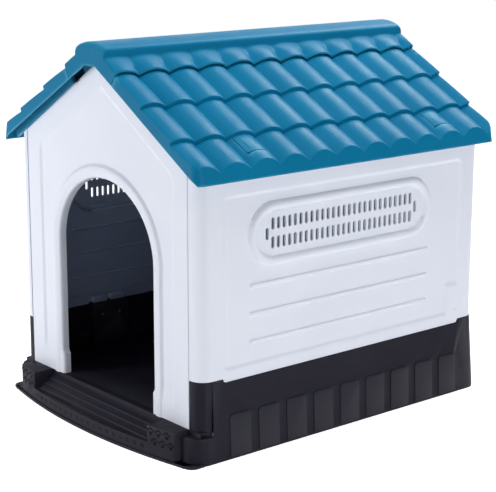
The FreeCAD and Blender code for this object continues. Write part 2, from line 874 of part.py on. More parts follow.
class Row:
    """One tile row: its frame along the slope and the wave that runs across it."""

    def __init__(self, run0, rise0, run1, rise1):
        self.start = slope_point(run0, rise0)
        end = slope_point(run1, rise1)
        dx = end[0] - self.start[0]
        dz = end[1] - self.start[1]
        self.length = math.hypot(dx, dz)
        self.along = (dx / self.length, dz / self.length)

    def point(self, y, down, rise):
        ax, az = self.along
        return Vec(self.start[0] + ax * down - az * rise, y, self.start[1] + az * down + ax * rise)

    def wave(self, y0, y1, down, shift):
        """Edges of the tile wave from y0 to y1, `shift` off the tile surface."""
        edges = []
        breaks = wave_breaks(y0, y1)
        for left, right in zip(breaks, breaks[1:]):
            middle = (left + right) / 2
            points = [self.point(y, down, shift - tile_drop(y, middle)) for y in (left, middle, right)]
            edges.append(Part.Arc(*points).toShape())
        return edges

    def strip(self, y0, y1, down0, down1, top, bottom, flat=False):
        """Solid under the wave between two distances down the row."""
        upper = self.wave(y0, y1, down0, top)
        start = upper[0].Vertexes[0].Point
        end = upper[-1].Vertexes[-1].Point
        if flat:
            corners = [self.point(y1, down0, bottom), self.point(y0, down0, bottom)]
            lower = [Part.makeLine(*corners)]
        else:
            lower = self.wave(y0, y1, down0, bottom)
            corners = [lower[-1].Vertexes[-1].Point, lower[0].Vertexes[0].Point]
        edges = upper + [Part.makeLine(end, corners[0])] + lower + [Part.makeLine(corners[1], start)]
        wire = Part.Wire(Part.__sortEdges__(edges))
        ax, az = self.along
        reach = down1 - down0
        return Part.Face(wire).extrude(Vec(ax * reach, 0, az * reach))


def panel_rows():
    return [Row(run0, -row_step, run1, 0) for run0, run1 in zip(row_starts, row_ends)]


def cap_row():
    return Row(-cap_row_length, -cap_row_drop, 0, 0)


# Right roof panel
def pivot_centre():
    return slope_point(-pivot_back, -pivot_depth)


def verge_plate(y0, y1, run0, bottom_points):
    """Upright plate under the tile rows, its top hidden inside the tiles."""
    sink = deepest_drop(y0, y1) + roof_skin / 2
    points = []
    for row, (start, end) in enumerate(zip(row_starts, row_ends)):
        first = run0 if row == 0 else start
        points += [slope_point(first, -row_step - sink), slope_point(end, -sink)]
    return prism_xz(points + bottom_points, y0, y1)


def verge_boards():
    eave = (eave_half_width - fascia_wall / 2, eave_bottom_height)
    bottom = [eave, slope_point(lip_gap, -fascia_depth)]
    return [verge_plate(verge_front, verge_front + fascia_wall, lip_gap, bottom),
            verge_plate(verge_rear - fascia_wall, verge_rear, lip_gap, bottom)]


def rest_ribs():
    """Ribs under the tiles that lie on the tops of the gables."""
    run0 = arm_length
    run1 = row_ends[-1]
    bottom = [slope_point(run1, -gable_drop + rest_gap), slope_point(run0, -gable_drop + rest_gap)]
    lap = (panel_depth - rest_rib_wall) / 2
    return [verge_plate(front_y + lap, front_y + lap + rest_rib_wall, run0, bottom),
            verge_plate(rear_y - lap - rest_rib_wall, rear_y - lap, run0, bottom)]


def eave_board():
    """Leaning board along the eave, closed at the top by the ends of the tiles."""
    row = panel_rows()[-1]
    ends = row.strip(verge_front, verge_rear, row.length - fascia_wall, row.length, 0, -tile_rise - roof_skin)
    run = row_ends[-1]
    points = [slope_point(run, -roof_skin), (eave_half_width, eave_bottom_height),
              (eave_half_width - fascia_wall, eave_bottom_height),
              slope_point(run - fascia_wall, -tile_rise - roof_skin)]
    return [ends, prism_xz(points, verge_front, verge_rear)]


def tile_shell():
    """Tile rows with their step faces, and the narrow tongue that lies under the cap's lip."""
    rows = panel_rows()
    solids = []
    for index, row in enumerate(rows):
        start = lip_gap if index == 0 else -roof_skin
        solids.append(row.strip(verge_front, verge_rear, start, row.length, 0, -roof_skin))
        if index < len(rows) - 1:
            solids.append(row.strip(verge_front, verge_rear, row.length - roof_skin, row.length,
                                    0, -row_step - roof_skin / 2))
    inset = fascia_wall + eye_gap
    solids.append(rows[0].strip(verge_front + inset, verge_rear - inset, -tongue_length, lip_gap,
                                0, -roof_skin))
    return solids


def eye_spans():
    """Y spans of the pivot eyes, just inside the cap's verge boards."""
    inset = fascia_wall + eye_gap
    return ((verge_front + inset, verge_front + inset + eye_wall),
            (verge_rear - inset - eye_wall, verge_rear - inset))


def pivot_eyes():
    x, z = pivot_centre()
    eyes = []
    for y0, y1 in eye_spans():
        eyes.append(rod(Vec(x, y0, z), Vec(0, 1, 0), eye_radius, y1 - y0))
        eyes.append(slope_box(-pivot_back, arm_length, -pivot_depth - eye_radius, -pivot_depth, y0, y1))
    return eyes


def eye_bores():
    x, z = pivot_centre()
    return [rod(Vec(x, y0 - overrun, z), Vec(0, 1, 0), pivot_pin_radius + pivot_fit, y1 - y0 + 2 * overrun)
            for y0, y1 in eye_spans()]


def eave_corners():
    """Blocks that thicken the eave's corners, and the cutters that round them."""
    blocks = []
    cutters = []
    top = slope_point(row_ends[-1], -tile_rise)[1]
    for y_edge, inward in ((verge_front, 1), (verge_rear, -1)):
        y0, y1 = sorted((y_edge, y_edge + inward * eave_corner))
        x0 = eave_half_width - eave_corner
        lean = slope_point(row_ends[-1], -roof_skin)[0]
        points = [(x0, eave_bottom_height), (eave_half_width, eave_bottom_height), (lean, top), (x0, top)]
        blocks.append(prism_xz(points, y0, y1))
        past, near = sorted((y_edge - inward * overrun, y_edge + inward * eave_corner))
        corner = box(x0, eave_half_width + overrun, past, near, eave_bottom_height - overrun, cap_lip_height)
        axis = Vec(x0, y_edge + inward * eave_corner, eave_bottom_height - 2 * overrun)
        cutters.append(corner.cut(rod(axis, Vec(0, 0, 1), eave_corner + seam_gap, cap_lip_height)))
    return blocks, cutters


# Roof latches on the right slope
def latch_middle(troughs):
    first, second = troughs
    return verge_front + first_trough + (first + second) / 2 * tile_pitch


def latch_run():
    start = row_starts[-1] + latch_start
    return start, start + latch_length


def latch_axis():
    return slope_point(latch_run()[0] + latch_pivot_run, -latch_pivot_depth)


def latch_window(middle, gap, foot_gap):
    start, end = latch_run()
    half = latch_width / 2
    return slope_box(start - gap, end + foot_gap, -row_step - 2 * tile_rise, tile_rise,
                     middle - half - gap, middle + half + gap)


def latch_lugs(middle):
    """Ears under the tiles that hold the latch's trunnions."""
    row = panel_rows()[-1]
    down = latch_start + latch_pivot_run
    x, z = latch_axis()
    ears = []
    for side in (-1, 1):
        near = middle + side * (latch_width / 2 + lug_gap)
        y0, y1 = sorted((near, near + side * lug_wall))
        ear = row.strip(y0, y1, down - lug_half_run, down + lug_half_run, -roof_skin / 2, -lug_depth,
                        flat=True)
        bore_length = lug_wall + 2 * overrun
        bore = rod(Vec(x, y0 - overrun, z), Vec(0, 1, 0), trunnion_radius + trunnion_fit, bore_length)
        ears.append(ear.cut(bore))
    return ears


def latch_leg(middle):
    """Leg that hangs from the tab, with a nib turned out under the wall's rail."""
    x0 = leg_half_span
    x1 = x0 + leg_wall
    low = nib_top - nib_height
    sink = row_step / 2 + roof_skin / 2
    tip = x1 + nib_reach
    points = [(x0, low), (x1, low), (tip, nib_top), (x1, nib_top), (x1, slope_height(x1, -sink)),
              (x0, slope_height(x0, -sink))]
    return prism_xz(points, middle - leg_width / 2, middle + leg_width / 2)


def latch_webs(middle):
    """Side webs from the tab down to the pivot barrel."""
    half = latch_width / 2 - latch_web
    row = panel_rows()[-1]
    web_end = latch_start + 2 * latch_pivot_run
    webs = []
    for side in (-1, 1):
        y0, y1 = sorted((middle + side * half, middle + side * (half - latch_web)))
        webs.append(row.strip(y0, y1, latch_start, web_end, -roof_skin / 2,
                              -latch_pivot_depth + row_step, flat=True))
    return webs


def latch(middle):
    row = panel_rows()[-1]
    half = latch_width / 2
    tab = row.strip(middle - half, middle + half, 0, row.length, 0, -roof_skin)
    tab = tab.common(latch_window(middle, 0, 0))
    x, z = latch_axis()
    barrel = rod(Vec(x, middle - half + latch_web, z), Vec(0, 1, 0), latch_barrel_radius,
                 2 * (half - latch_web))
    reach = half + lug_gap + lug_wall
    trunnions = rod(Vec(x, middle - reach, z), Vec(0, 1, 0), trunnion_radius, 2 * reach)
    return join([tab, barrel, trunnions, latch_leg(middle)] + latch_webs(middle))


def roof_panel():
    blocks, cutters = eave_corners()
    solids = tile_shell() + verge_boards() + rest_ribs() + eave_board() + pivot_eyes() + blocks
    panel = join(solids).cut(cutters + eye_bores())
    for troughs in latch_troughs:
        middle = latch_middle(troughs)
        panel = panel.cut(latch_window(middle, latch_side_gap, latch_foot_gap))
        panel = join([panel] + latch_lugs(middle))
    return panel


# Ridge cap
def ridge_roll():
    """Shallow arched roll along the ridge with upright sides."""
    half = ridge_half_width
    low = slope_point(-cap_row_length, -cap_row_drop - tile_rise - roof_skin)[1]
    outer = Part.Arc(Vec(-half, verge_front, ridge_edge_height), Vec(0, verge_front, ridge_height),
                     Vec(half, verge_front, ridge_edge_height)).toShape()
    inner_half = half - roof_skin
    inner = Part.Arc(Vec(inner_half, verge_front, ridge_edge_height - roof_skin),
                     Vec(0, verge_front, ridge_height - roof_skin),
                     Vec(-inner_half, verge_front, ridge_edge_height - roof_skin)).toShape()
    right = [(half, ridge_edge_height), (half, low), (inner_half, low),
             (inner_half, ridge_edge_height - roof_skin)]
    edges = [outer, inner]
    for side in (-1, 1):
        corners = [Vec(side * x, verge_front, z) for x, z in right]
        edges += Part.makePolygon(corners).Edges
    wire = Part.Wire(Part.__sortEdges__(edges))
    return Part.Face(wire).extrude(Vec(0, verge_rear - verge_front, 0))


def cap_board(y0, y1):
    """Right half of the cap's verge board."""
    sink = deepest_drop(y0, y1) + roof_skin / 2
    points = [(0, ridge_edge_height), (ridge_half_width - roof_skin / 2, ridge_edge_height - roof_skin / 2),
              slope_point(-cap_row_length, -cap_row_drop - sink), slope_point(0, -sink),
              slope_point(0, -fascia_depth), (cap_fascia_flat, cap_fascia_bottom), (0, cap_fascia_bottom)]
    return prism_xz(points, y0, y1)


def cap_crown(y0, y1):
    """Right half of the board's arched top, inside the roll."""
    half = ridge_half_width - roof_skin / 2
    centre_z = ridge_height - roof_skin / 2
    arc = Part.Arc(Vec(-half, y0, ridge_edge_height - roof_skin / 2), Vec(0, y0, centre_z),
                   Vec(half, y0, ridge_edge_height - roof_skin / 2)).toShape()
    chord = Part.makeLine(arc.Vertexes[-1].Point, arc.Vertexes[0].Point)
    return Part.Face(Part.Wire([arc, chord])).extrude(Vec(0, y1 - y0, 0))


def saddle(y0, y1):
    """Right half of the web inside the cap that sits on a gable's apex."""
    clear = -gable_drop + rest_gap
    stop = -tongue_length - pivot_back
    sink = deepest_drop(y0, y1) + cap_row_drop + roof_skin / 2
    points = [(0, ridge_edge_height), (ridge_half_width - roof_skin / 2, ridge_edge_height - roof_skin / 2),
              slope_point(-cap_row_length, -sink), slope_point(stop, -sink), slope_point(stop, clear),
              (0, slope_height(0, clear))]
    return prism_xz(points, y0, y1)


def saddle_tab(y0, y1):
    """Tab that hangs from the saddle behind the gable and takes the ridge screw."""
    top = slope_height(0, -gable_drop) + fascia_wall
    low = slope_height(0, -gable_drop) - apex_radius
    return box(-cap_fascia_flat, cap_fascia_flat, y0, y1, low, top)


def pivot_stubs():
    """Stub pins on the inner faces of the cap's verge boards, for the right panel's eyes."""
    x, z = pivot_centre()
    reach = eye_gap + eye_wall
    length = fascia_wall / 2 + reach
    starts = (verge_front + fascia_wall / 2, verge_rear - fascia_wall - reach)
    return [rod(Vec(x, y, z), Vec(0, 1, 0), pivot_pin_radius, length) for y in starts]


def ridge_cap():
    row = cap_row()
    lap = (panel_depth - rest_rib_wall) / 2
    boards = ((verge_front, verge_front + fascia_wall), (verge_rear - fascia_wall, verge_rear))
    webs = ((front_y + lap, front_y + panel_depth + rest_rib_wall),
            (rear_y - panel_depth - rest_rib_wall, rear_y - lap))
    half = [row.strip(verge_front, verge_rear, -roof_skin, row.length, 0, -roof_skin)] + pivot_stubs()
    half += [cap_board(*span) for span in boards] + [saddle(*span) for span in webs]
    crowns = [cap_crown(*span) for span in boards + webs]
    tabs = [saddle_tab(front_y + panel_depth + seam_gap, front_y + panel_depth + rest_rib_wall),
            saddle_tab(rear_y - panel_depth - rest_rib_wall, rear_y - panel_depth - seam_gap)]
    cap = join([ridge_roll()] + half + [turned(solid) for solid in half] + crowns + tabs)
    return cut_screws(cap, ridge_screws(front_y, 1) + ridge_screws(rear_y, -1))


# The whole house
def screw_group(screws):
    return Part.makeCompound([screw(seat, direction, reach) for seat, direction, reach in screws])


def latch_nodes():
    nodes = {}
    for name, far_name, troughs in zip(("front", "rear"), ("rear", "front"), latch_troughs):
        piece = latch(latch_middle(troughs))
        nodes["roof_latch_right_" + name] = piece
        nodes["roof_latch_left_" + far_name] = turned(piece)
    return nodes


def screw_nodes():
    return {
        "corner_screws_front_left": screw_group(corner_screws(front_y, 1, -1)),
        "corner_screws_front_right": screw_group(corner_screws(front_y, 1, 1)),
        "corner_screws_rear_left": screw_group(corner_screws(rear_y, -1, -1)),
        "corner_screws_rear_right": screw_group(corner_screws(rear_y, -1, 1)),
        "socket_screws_left": screw_group(socket_screws_side(-1)),
        "socket_screws_right": screw_group(socket_screws_side(1)),
        "socket_screws_rear": screw_group(socket_screws_rear()),
        "front_foot_screws": screw_group(foot_screws()),
        "ridge_screw_front": screw_group(ridge_screws(front_y, 1)),
        "ridge_screw_rear": screw_group(ridge_screws(rear_y, -1)),
    }


def house():
    side = side_panel()
    panel = roof_panel()
    nodes = {
        "base_tray": base_tray(),
        "front_panel": front_panel(),
        "rear_panel": rear_panel(),
        "side_panel_right": side,
        "side_panel_left": across(side),
        "roof_panel_right": panel,
        "roof_panel_left": turned(panel),
        "ridge_cap": ridge_cap(),
    }
    nodes.update(latch_nodes())
    nodes.update(screw_nodes())
    return nodes


for node_name, node_shape in house().items():
    node_shape.exportStep("parts/" + node_name + ".step")
    print(node_name, "solids", len(node_shape.Solids), "valid", node_shape.isValid(),
          "litres", round(node_shape.Volume / 1e6, 3))
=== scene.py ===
"""Looks of an outdoor pet house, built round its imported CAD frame."""

import sys
import logging
import math
from contextlib import contextmanager
from dataclasses import dataclass
from enum import Enum
from typing import Dict, Iterator, List, Optional, Sequence, Tuple, Union

import bmesh
import bpy
import numpy as np
from mathutils import Euler, Matrix, Vector
from mathutils.geometry import delaunay_2d_cdt


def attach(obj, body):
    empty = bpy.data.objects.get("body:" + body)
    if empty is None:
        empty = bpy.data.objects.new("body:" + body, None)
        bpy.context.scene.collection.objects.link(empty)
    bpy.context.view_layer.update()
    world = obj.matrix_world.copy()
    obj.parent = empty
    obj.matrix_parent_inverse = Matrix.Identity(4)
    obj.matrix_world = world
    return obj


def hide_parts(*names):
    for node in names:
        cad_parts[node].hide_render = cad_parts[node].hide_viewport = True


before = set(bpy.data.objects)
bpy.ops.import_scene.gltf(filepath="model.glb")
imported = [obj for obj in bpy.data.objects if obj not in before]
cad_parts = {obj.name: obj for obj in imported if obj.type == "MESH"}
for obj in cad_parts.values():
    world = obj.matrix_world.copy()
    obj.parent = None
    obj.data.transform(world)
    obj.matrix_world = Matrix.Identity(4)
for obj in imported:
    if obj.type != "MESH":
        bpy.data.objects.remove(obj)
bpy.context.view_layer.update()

LOG = logging.getLogger("pet_house")
MM = 0.001
# Face attribute of the wall faces that look into the cabin; the wall finish paints the cabin's shade onto
# them.
SHADED_INSIDE_MARK = "inside"
# Offsets of the mesh lines that a soft edge and a rib need, in millimetres.
EDGE_LINES = (-5.0, -2.5, 0.0, 2.5, 5.0)
RIB_LINES = (-5.2, -4.2, -3.3, -2.4, 0.0, 2.4, 3.3, 4.2, 5.2)
# Angles at which a quarter round edge has its points.
QUARTER_TURNS = (0.0, 22.5, 45.0, 67.5, 90.0)

Place2D = Tuple[float, float]
Place3D = Tuple[float, float, float]
Path2D = List[Place2D]
Outline = Tuple[Place2D, ...]
Numbers = Union[float, np.ndarray]
Piece = bpy.types.Object
Material = bpy.types.Material
Socket = bpy.types.NodeSocket
Sockets = bpy.types.bpy_prop_collection


class Slot(Enum):
    """Material slots of the record."""

    BASE = "base_plastic"
    WALL = "wall_plastic"
    ROOF = "roof_plastic"
    STEEL = "screw_steel"


class Hand(Enum):
    """Side of the house, as the sign of its X."""

    RIGHT = 1
    LEFT = -1


class GableKind(Enum):
    """Which gable a panel closes, as the way from it into the cabin along Y."""

    FRONT = 1
    REAR = -1


@dataclass(frozen=True)
class HouseSizes:
    """Main sizes of the house in millimetres, in the frame of the CAD part."""

    wall_half_width: float = 327.0
    front_half_width: float = 290.0
    front_y: float = -372.0
    rear_y: float = 423.0
    corner_radius: float = 32.0
    verge_front: float = -398.0
    verge_rear: float = 441.0
    deck: float = 67.0
    sill: float = 162.0
    post: float = 170.0
    ear_run: float = 58.0
    seam_gap: float = 0.3
    panel_depth: float = 18.0
    wall_skin: float = 3.5
    roof_skin: float = 3.5
    pitch: float = math.radians(31.7)
    lip_x: float = 93.0
    lip_z: float = 766.0
    gable_drop: float = 36.0
    apex_radius: float = 40.0
    ridge_screw_drop: float = 16.0
    tile_pitch: float = 75.2
    tile_rise: float = 13.0
    trough_lift: float = 0.3
    valley_softness: float = 2.6
    first_trough: float = -335.3
    pivot: Place2D = (-5.0, -12.0)

    @property
    def wall_mid_y(self) -> float:
        """Middle of the walls along the house."""
        return (self.front_y + self.rear_y) / 2

    @property
    def roof_mid_y(self) -> float:
        """Middle of the roof along the house."""
        return (self.verge_front + self.verge_rear) / 2

    @property
    def gables(self) -> Tuple[Tuple[float, int], ...]:
        """Y of both gable faces, each with the way into the house."""
        return (self.front_y, 1), (self.rear_y, -1)

    @property
    def verges(self) -> Tuple[Tuple[float, int], ...]:
        """Y of both ends of the roof, each with the way into the house."""
        return (self.verge_front, 1), (self.verge_rear, -1)

    @property
    def tile_radius(self) -> float:
        """Radius of the arc that one tile shows in cross section."""
        return (self.tile_pitch ** 2 / 4 + self.tile_rise ** 2) / (2 * self.tile_rise)

    @property
    def gable_apex(self) -> float:
        """Height at which both slopes of a gable would meet."""
        return float(self.slope_height(0.0, -self.gable_drop))

    @property
    def ridge_screw_z(self) -> float:
        """Height of the screws that hold the ridge cap."""
        blunted = self.apex_radius * (1 / math.cos(self.pitch) - 1)
        return self.gable_apex - blunted - self.ridge_screw_drop

    def slope_point(self, run: Numbers, rise: Numbers) -> Tuple[Numbers, Numbers]:
        """Turns a place on the right slope into X and Z.

        Args:
            run: Distance down the slope from the lip of the ridge cap.
            rise: Distance off the tile line, square to it.

        Returns:
            X and Z of the place.
        """
        x = self.lip_x + run * math.cos(self.pitch) + rise * math.sin(self.pitch)
        z = self.lip_z - run * math.sin(self.pitch) + rise * math.cos(self.pitch)
        return x, z

    def slope_path(self, places: Sequence[Place2D]) -> Path2D:
        """Turns places on the right slope, given as run and rise, into X and Z."""
        return [self.slope_point(*place) for place in places]

    def slope_height(self, x: Numbers, rise: float) -> Numbers:
        """Z at an X on a line that runs beside the tile line of the right slope."""
        run = (x - self.lip_x - rise * math.sin(self.pitch)) / math.cos(self.pitch)
        return self.lip_z - run * math.sin(self.pitch) + rise * math.cos(self.pitch)

    def tile_drop(self, y: float) -> float:
        """How far the tile surface lies under its crest line.

        Args:
            y: Place along the house.

        Returns:
            The drop, square to the slope.
        """
        phase = (y - self.first_trough) / self.tile_pitch
        off = (phase - math.floor(phase) - 0.5) * self.tile_pitch
        return self.tile_radius - math.sqrt(self.tile_radius ** 2 - off ** 2)


HOUSE = HouseSizes()


def smooth_step(low: float, high: float, value: Numbers) -> Numbers:
    """Share from 0 to 1 on a smooth ramp between two places."""
    share = np.clip((value - low) / (high - low), 0.0, 1.0)
    return share * share * (3 - 2 * share)


def ticks(low: float, high: float, step: float, must: Sequence[float] = (), near: float = 0.8) -> np.ndarray:
    """Places along a line that include some fixed ones and leave no gap wider than a step.

    Args:
        low: First place.
        high: Last place.
        step: Widest gap.
        must: Places that have to be there.
        near: Places closer together than this become one.

    Returns:
        The places in order.
    """
    fixed = [low]
    for place in sorted(must):
        if low + near < place < high - near and place - fixed[-1] > near:
            fixed.append(place)
    fixed.append(high)
    places = [low]
    for start, end in zip(fixed, fixed[1:]):
        count = max(1, math.ceil((end - start) / step))
        places += [start + (end - start) * (index + 1) / count for index in range(count)]
    return np.array(places)


def beside(places: Sequence[float], offsets: Sequence[float]) -> List[float]:
    """Adds every offset to every place."""
    return [place + offset for place in places for offset in offsets]


def bend(start: Place2D, corner: Place2D, end: Place2D, count: int) -> Path2D:
    """Points of a soft bend from one place to another round a corner.

    Args:
        start: First point.
        corner: Corner that the bend goes round.
        end: Last point.
        count: How many steps the bend has.

    Returns:
        The points, both ends among them.
    """
    points = []
    for index in range(count + 1):
        t = index / count
        pulls = list(zip(((1 - t) ** 2, 2 * t * (1 - t), t * t), (start, corner, end)))
        points.append(tuple(sum(pull * place[axis] for pull, place in pulls) for axis in (0, 1)))
    return points


def circle_path(x: float, z: float, radius: float, count: int) -> Path2D:
    """Points round a circle, in order."""
    turns = np.linspace(0, 2 * math.pi, count, endpoint=False)
    return [(x + radius * math.cos(turn), z + radius * math.sin(turn)) for turn in turns]


def inside_path(path: np.ndarray, u: np.ndarray, v: np.ndarray) -> np.ndarray:
    """Tells which places lie inside a closed path, by the even-odd rule.

    Args:
        path: Corners of the path.
        u: First value of each place.
        v: Second value of each place.

    Returns:
        True for each place inside.
    """
    result = np.zeros(len(u), bool)
    ends = np.roll(path, -1, axis=0)
    for (u0, v0), (u1, v1) in zip(path, ends):
        if v0 == v1:
            continue
        crosses = (v0 > v) != (v1 > v)
        result ^= crosses & (u < (u1 - u0) * (v - v0) / (v1 - v0) + u0)
    return result


def far_from_path(path: np.ndarray, places: np.ndarray, reach: float) -> np.ndarray:
    """Tells which places keep clear of a closed path.

    Args:
        path: Corners of the path.
        places: The places, one in each row.
        reach: How far away they have to be.

    Returns:
        True for each place that is far enough away.
    """
    clear = np.ones(len(places), bool)
    low, high = path.min(0) - reach, path.max(0) + reach
    near = np.all((places > low) & (places < high), axis=1)
    spots = places[near]
    if not len(spots):
        return clear
    best = np.full(len(spots), np.inf)
    for start, end in zip(path, np.roll(path, -1, axis=0)):
        way = end - start
        length = max(float(way @ way), 1e-9)
        share = np.clip((spots - start) @ way / length, 0, 1)
        gap = spots - start - share[:, None] * way
        best = np.minimum(best, np.hypot(gap[:, 0], gap[:, 1]))
    clear[near] = best > reach
    return clear


def stadium_gap(u: Numbers, v: Numbers, length: float, height: float) -> Numbers:
    """Distance from the edge of a bar with round ends, positive outside."""
    run = max(length / 2 - height / 2, 0.0)
    return np.hypot(np.maximum(np.abs(u) - run, 0.0), v) - height / 2


def block_gap(u: Numbers, v: Numbers, half_u: float, half_v: float, corner: float) -> Numbers:
    """Distance from the edge of a block with round corners.

    Args:
        u: First value of the place, from the middle of the block.
        v: Second value of the place, from the middle of the block.
        half_u: Half the length of the block.
        half_v: Half its height.
        corner: Radius of its corners.

    Returns:
        The distance, positive outside.
    """
    du, dv = np.abs(u) - half_u + corner, np.abs(v) - half_v + corner
    outside = np.hypot(np.maximum(du, 0.0), np.maximum(dv, 0.0))
    return outside + np.minimum(np.maximum(du, dv), 0.0) - corner


def bead(gap: Numbers, half: float, proud: float) -> Numbers:
    """Height of a half-round bead, by the distance from its middle line."""
    return proud * np.sqrt(np.clip(1.0 - (gap / half) ** 2, 0.0, 1.0))


def new_object(name: str, data: bpy.types.ID) -> Piece:
    """Makes an object for a mesh, a lamp or a camera and puts it in the scene.

    Args:
        name: Name of the object.
        data: What it shows.

    Returns:
        The object.
    """
    obj = bpy.data.objects.new(name, data)
    bpy.context.scene.collection.objects.link(obj)
    return obj


class MeshDraft:
    """Points and faces of a piece while it is put together, in millimetres."""

    def __init__(self) -> None:
        """Starts with nothing."""
        self.points: List[np.ndarray] = []
        self.faces: List[Tuple[int, ...]] = []
        self.traits: Dict[str, List[np.ndarray]] = {}
        self.count = 0

    def add(self, points: Sequence[Sequence[float]], faces: Sequence[Sequence[int]],
            **traits: np.ndarray) -> None:
        """Adds points and the faces between them.

        Args:
            points: The points, three values each.
            faces: Corners of each face, counted within these points.
            traits: Values that the points carry.
        """
        points = np.asarray(points, float).reshape(-1, 3)
        self.faces += [tuple(index + self.count for index in face) for face in faces]
        self.points.append(points)
        self.count += len(points)
        for label, values in traits.items():
            self.traits.setdefault(label, []).append(np.asarray(values, float).reshape(len(points), -1))

    def add_grid(self, points: np.ndarray, keep: Optional[np.ndarray] = None, flip: bool = False,
                 **traits: np.ndarray) -> None:
        """Adds a sheet of four sided faces.

        Args:
            points: Array of rows by columns by three.
            keep: Which faces stay, rows less one by columns less one.
            flip: Turns the faces over.
            traits: Values that the points carry.
        """
        rows, columns = points.shape[:2]
        faces = []
        for row in range(rows - 1):
            for column in range(columns - 1):
                if keep is not None and not keep[row, column]:
                    continue
                a = row * columns + column
                face = (a, a + 1, a + columns + 1, a + columns)
                faces.append(face[::-1] if flip else face)
        self.add(points, faces, **traits)

    def add_prism(self, outline: Sequence[Place2D], y0: float, y1: float) -> None:
        """Adds a prism along Y.

        Args:
            outline: Its cross section in X and Z.
            y0: Y of one end.
            y1: Y of the other end.
        """
        y0, y1 = sorted((y0, y1))
        ring = list(outline)
        area = sum(a[0] * b[1] - b[0] * a[1] for a, b in zip(ring, ring[1:] + ring[:1]))
        if area <= 0:
            ring.reverse()
        count = len(ring)
        points = [(x, y0, z) for x, z in ring] + [(x, y1, z) for x, z in ring]
        faces = [tuple(range(count)), tuple(range(2 * count - 1, count - 1, -1))]
        faces += [(index, index + count, (index + 1) % count + count, (index + 1) % count)
                  for index in range(count)]
        self.add(points, faces)

    def add_box(self, low: Sequence[float], high: Sequence[float]) -> None:
        """Adds a box between two corners."""
        outline = [(low[0], low[2]), (high[0], low[2]), (high[0], high[2]), (low[0], high[2])]
        self.add_prism(outline, low[1], high[1])

    def to_object(self, name: str) -> Piece:
        """Makes a Blender object, in metres, with the values that the points carry.

        Args:
            name: Name of the object and its mesh.

        Returns:
            The object.
        """
        mesh = bpy.data.meshes.new(name)
        points = np.concatenate(self.points) * MM
        mesh.from_pydata(points.tolist(), [], self.faces)
        for label, blocks in self.traits.items():
            values = np.concatenate(blocks)
            kind = "FLOAT" if values.shape[1] == 1 else "FLOAT_VECTOR"
            trait = mesh.attributes.new(label, kind, "POINT")
            trait.data.foreach_set("value" if kind == "FLOAT" else "vector", values.ravel().tolist())
        return new_object(name, mesh)


@contextmanager
def open_mesh(mesh: bpy.types.Mesh) -> Iterator[bmesh.types.BMesh]:
    """Opens a mesh for editing and writes it back.

    Args:
        mesh: The mesh.

    Returns:
        Its editable form, as a context.
    """
    work = bmesh.new()
    work.from_mesh(mesh)
    yield work
    work.to_mesh(mesh)
    work.free()


def merge_doubles(obj: Piece, reach: float = 0.02) -> None:
    """Joins points of a mesh that lie together and drops faces without area.

    Args:
        obj: The piece.
        reach: Points closer together than this become one, in millimetres.
    """
    with open_mesh(obj.data) as work:
        bmesh.ops.remove_doubles(work, verts=work.verts, dist=reach * MM)
        bmesh.ops.dissolve_degenerate(work, dist=reach * MM, edges=work.edges)


def bake(obj: Piece) -> Piece:
    """Turns an object with modifiers into a plain mesh.

    Args:
        obj: The object.

    Returns:
        The same object.
    """
    graph = bpy.context.evaluated_depsgraph_get()
    mesh = bpy.data.meshes.new_from_object(obj.evaluated_get(graph))
    old = obj.data
    obj.modifiers.clear()
    obj.data = mesh
    mesh.name = obj.name
    bpy.data.meshes.remove(old)
    return obj


def thicken(obj: Piece, skin: float) -> Piece:
    """Gives a sheet its wall, behind the side that shows.

    Args:
        obj: The sheet.
        skin: Thickness of the wall in millimetres.

    Returns:
        The same object.
    """
    solid = obj.modifiers.new("wall", "SOLIDIFY")
    solid.thickness = skin * MM
    solid.offset = -1.0
    solid.use_rim = True
    return bake(obj)


def soften(obj: Piece, width: float, segments: int = 2, angle: float = 35.0) -> Piece:
    """Rounds the sharp edges of a solid.

    Args:
        obj: The solid.
        width: Width of the rounding in millimetres.
        segments: How many faces it has.
        angle: Edges sharper than this are rounded, in degrees.

    Returns:
        The same object.
    """
    bevel = obj.modifiers.new("edges", "BEVEL")
    bevel.width = width * MM
    bevel.segments = segments
    bevel.limit_method = "ANGLE"
    bevel.angle_limit = math.radians(angle)
    bevel.use_clamp_overlap = False
    return bake(obj)


def turn_round(obj: Piece, middle: float) -> None:
    """Turns a mesh half round the upright axis at X 0 and a given Y, in millimetres."""
    half_turn = Matrix.Translation((0, middle * MM, 0)) @ Matrix.Rotation(math.pi, 4, "Z")
    obj.data.transform(half_turn @ Matrix.Translation((0, -middle * MM, 0)))


def join_objects(name: str, objects: Sequence[Piece]) -> Piece:
    """Puts several meshes into one object and removes the old ones.

    Args:
        name: Name of the new object.
        objects: The old objects.

    Returns:
        The new object.
    """
    work = bmesh.new()
    for obj in objects:
        work.from_mesh(obj.data)
    mesh = bpy.data.meshes.new(name)
    work.to_mesh(mesh)
    work.free()
    for obj in objects:
        old = obj.data
        bpy.data.objects.remove(obj)
        bpy.data.meshes.remove(old)
    return new_object(name, mesh)


def cad_copy(node: str, name: str, weld: float = 0.004, flat: float = 0.4) -> Piece:
    """Copies the mesh of a CAD node, with its loose triangles merged.

    Args:
        node: Name of the node.
        name: Name of the copy.
        weld: Points closer together than this become one, in millimetres.
        flat: Faces that meet at less than this become one, in degrees.

    Returns:
        The copy.
    """
    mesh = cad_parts[node].data.copy()
    mesh.materials.clear()
    obj = new_object(name, mesh)
    with open_mesh(mesh) as work:
        bmesh.ops.remove_doubles(work, verts=work.verts, dist=weld * MM)
        bmesh.ops.dissolve_limit(work, angle_limit=math.radians(flat), verts=work.verts, edges=work.edges)
    for label in [trait.name for trait in mesh.attributes if trait.name in ("custom_normal", "UVMap")]:
        mesh.attributes.remove(mesh.attributes[label])
    return obj


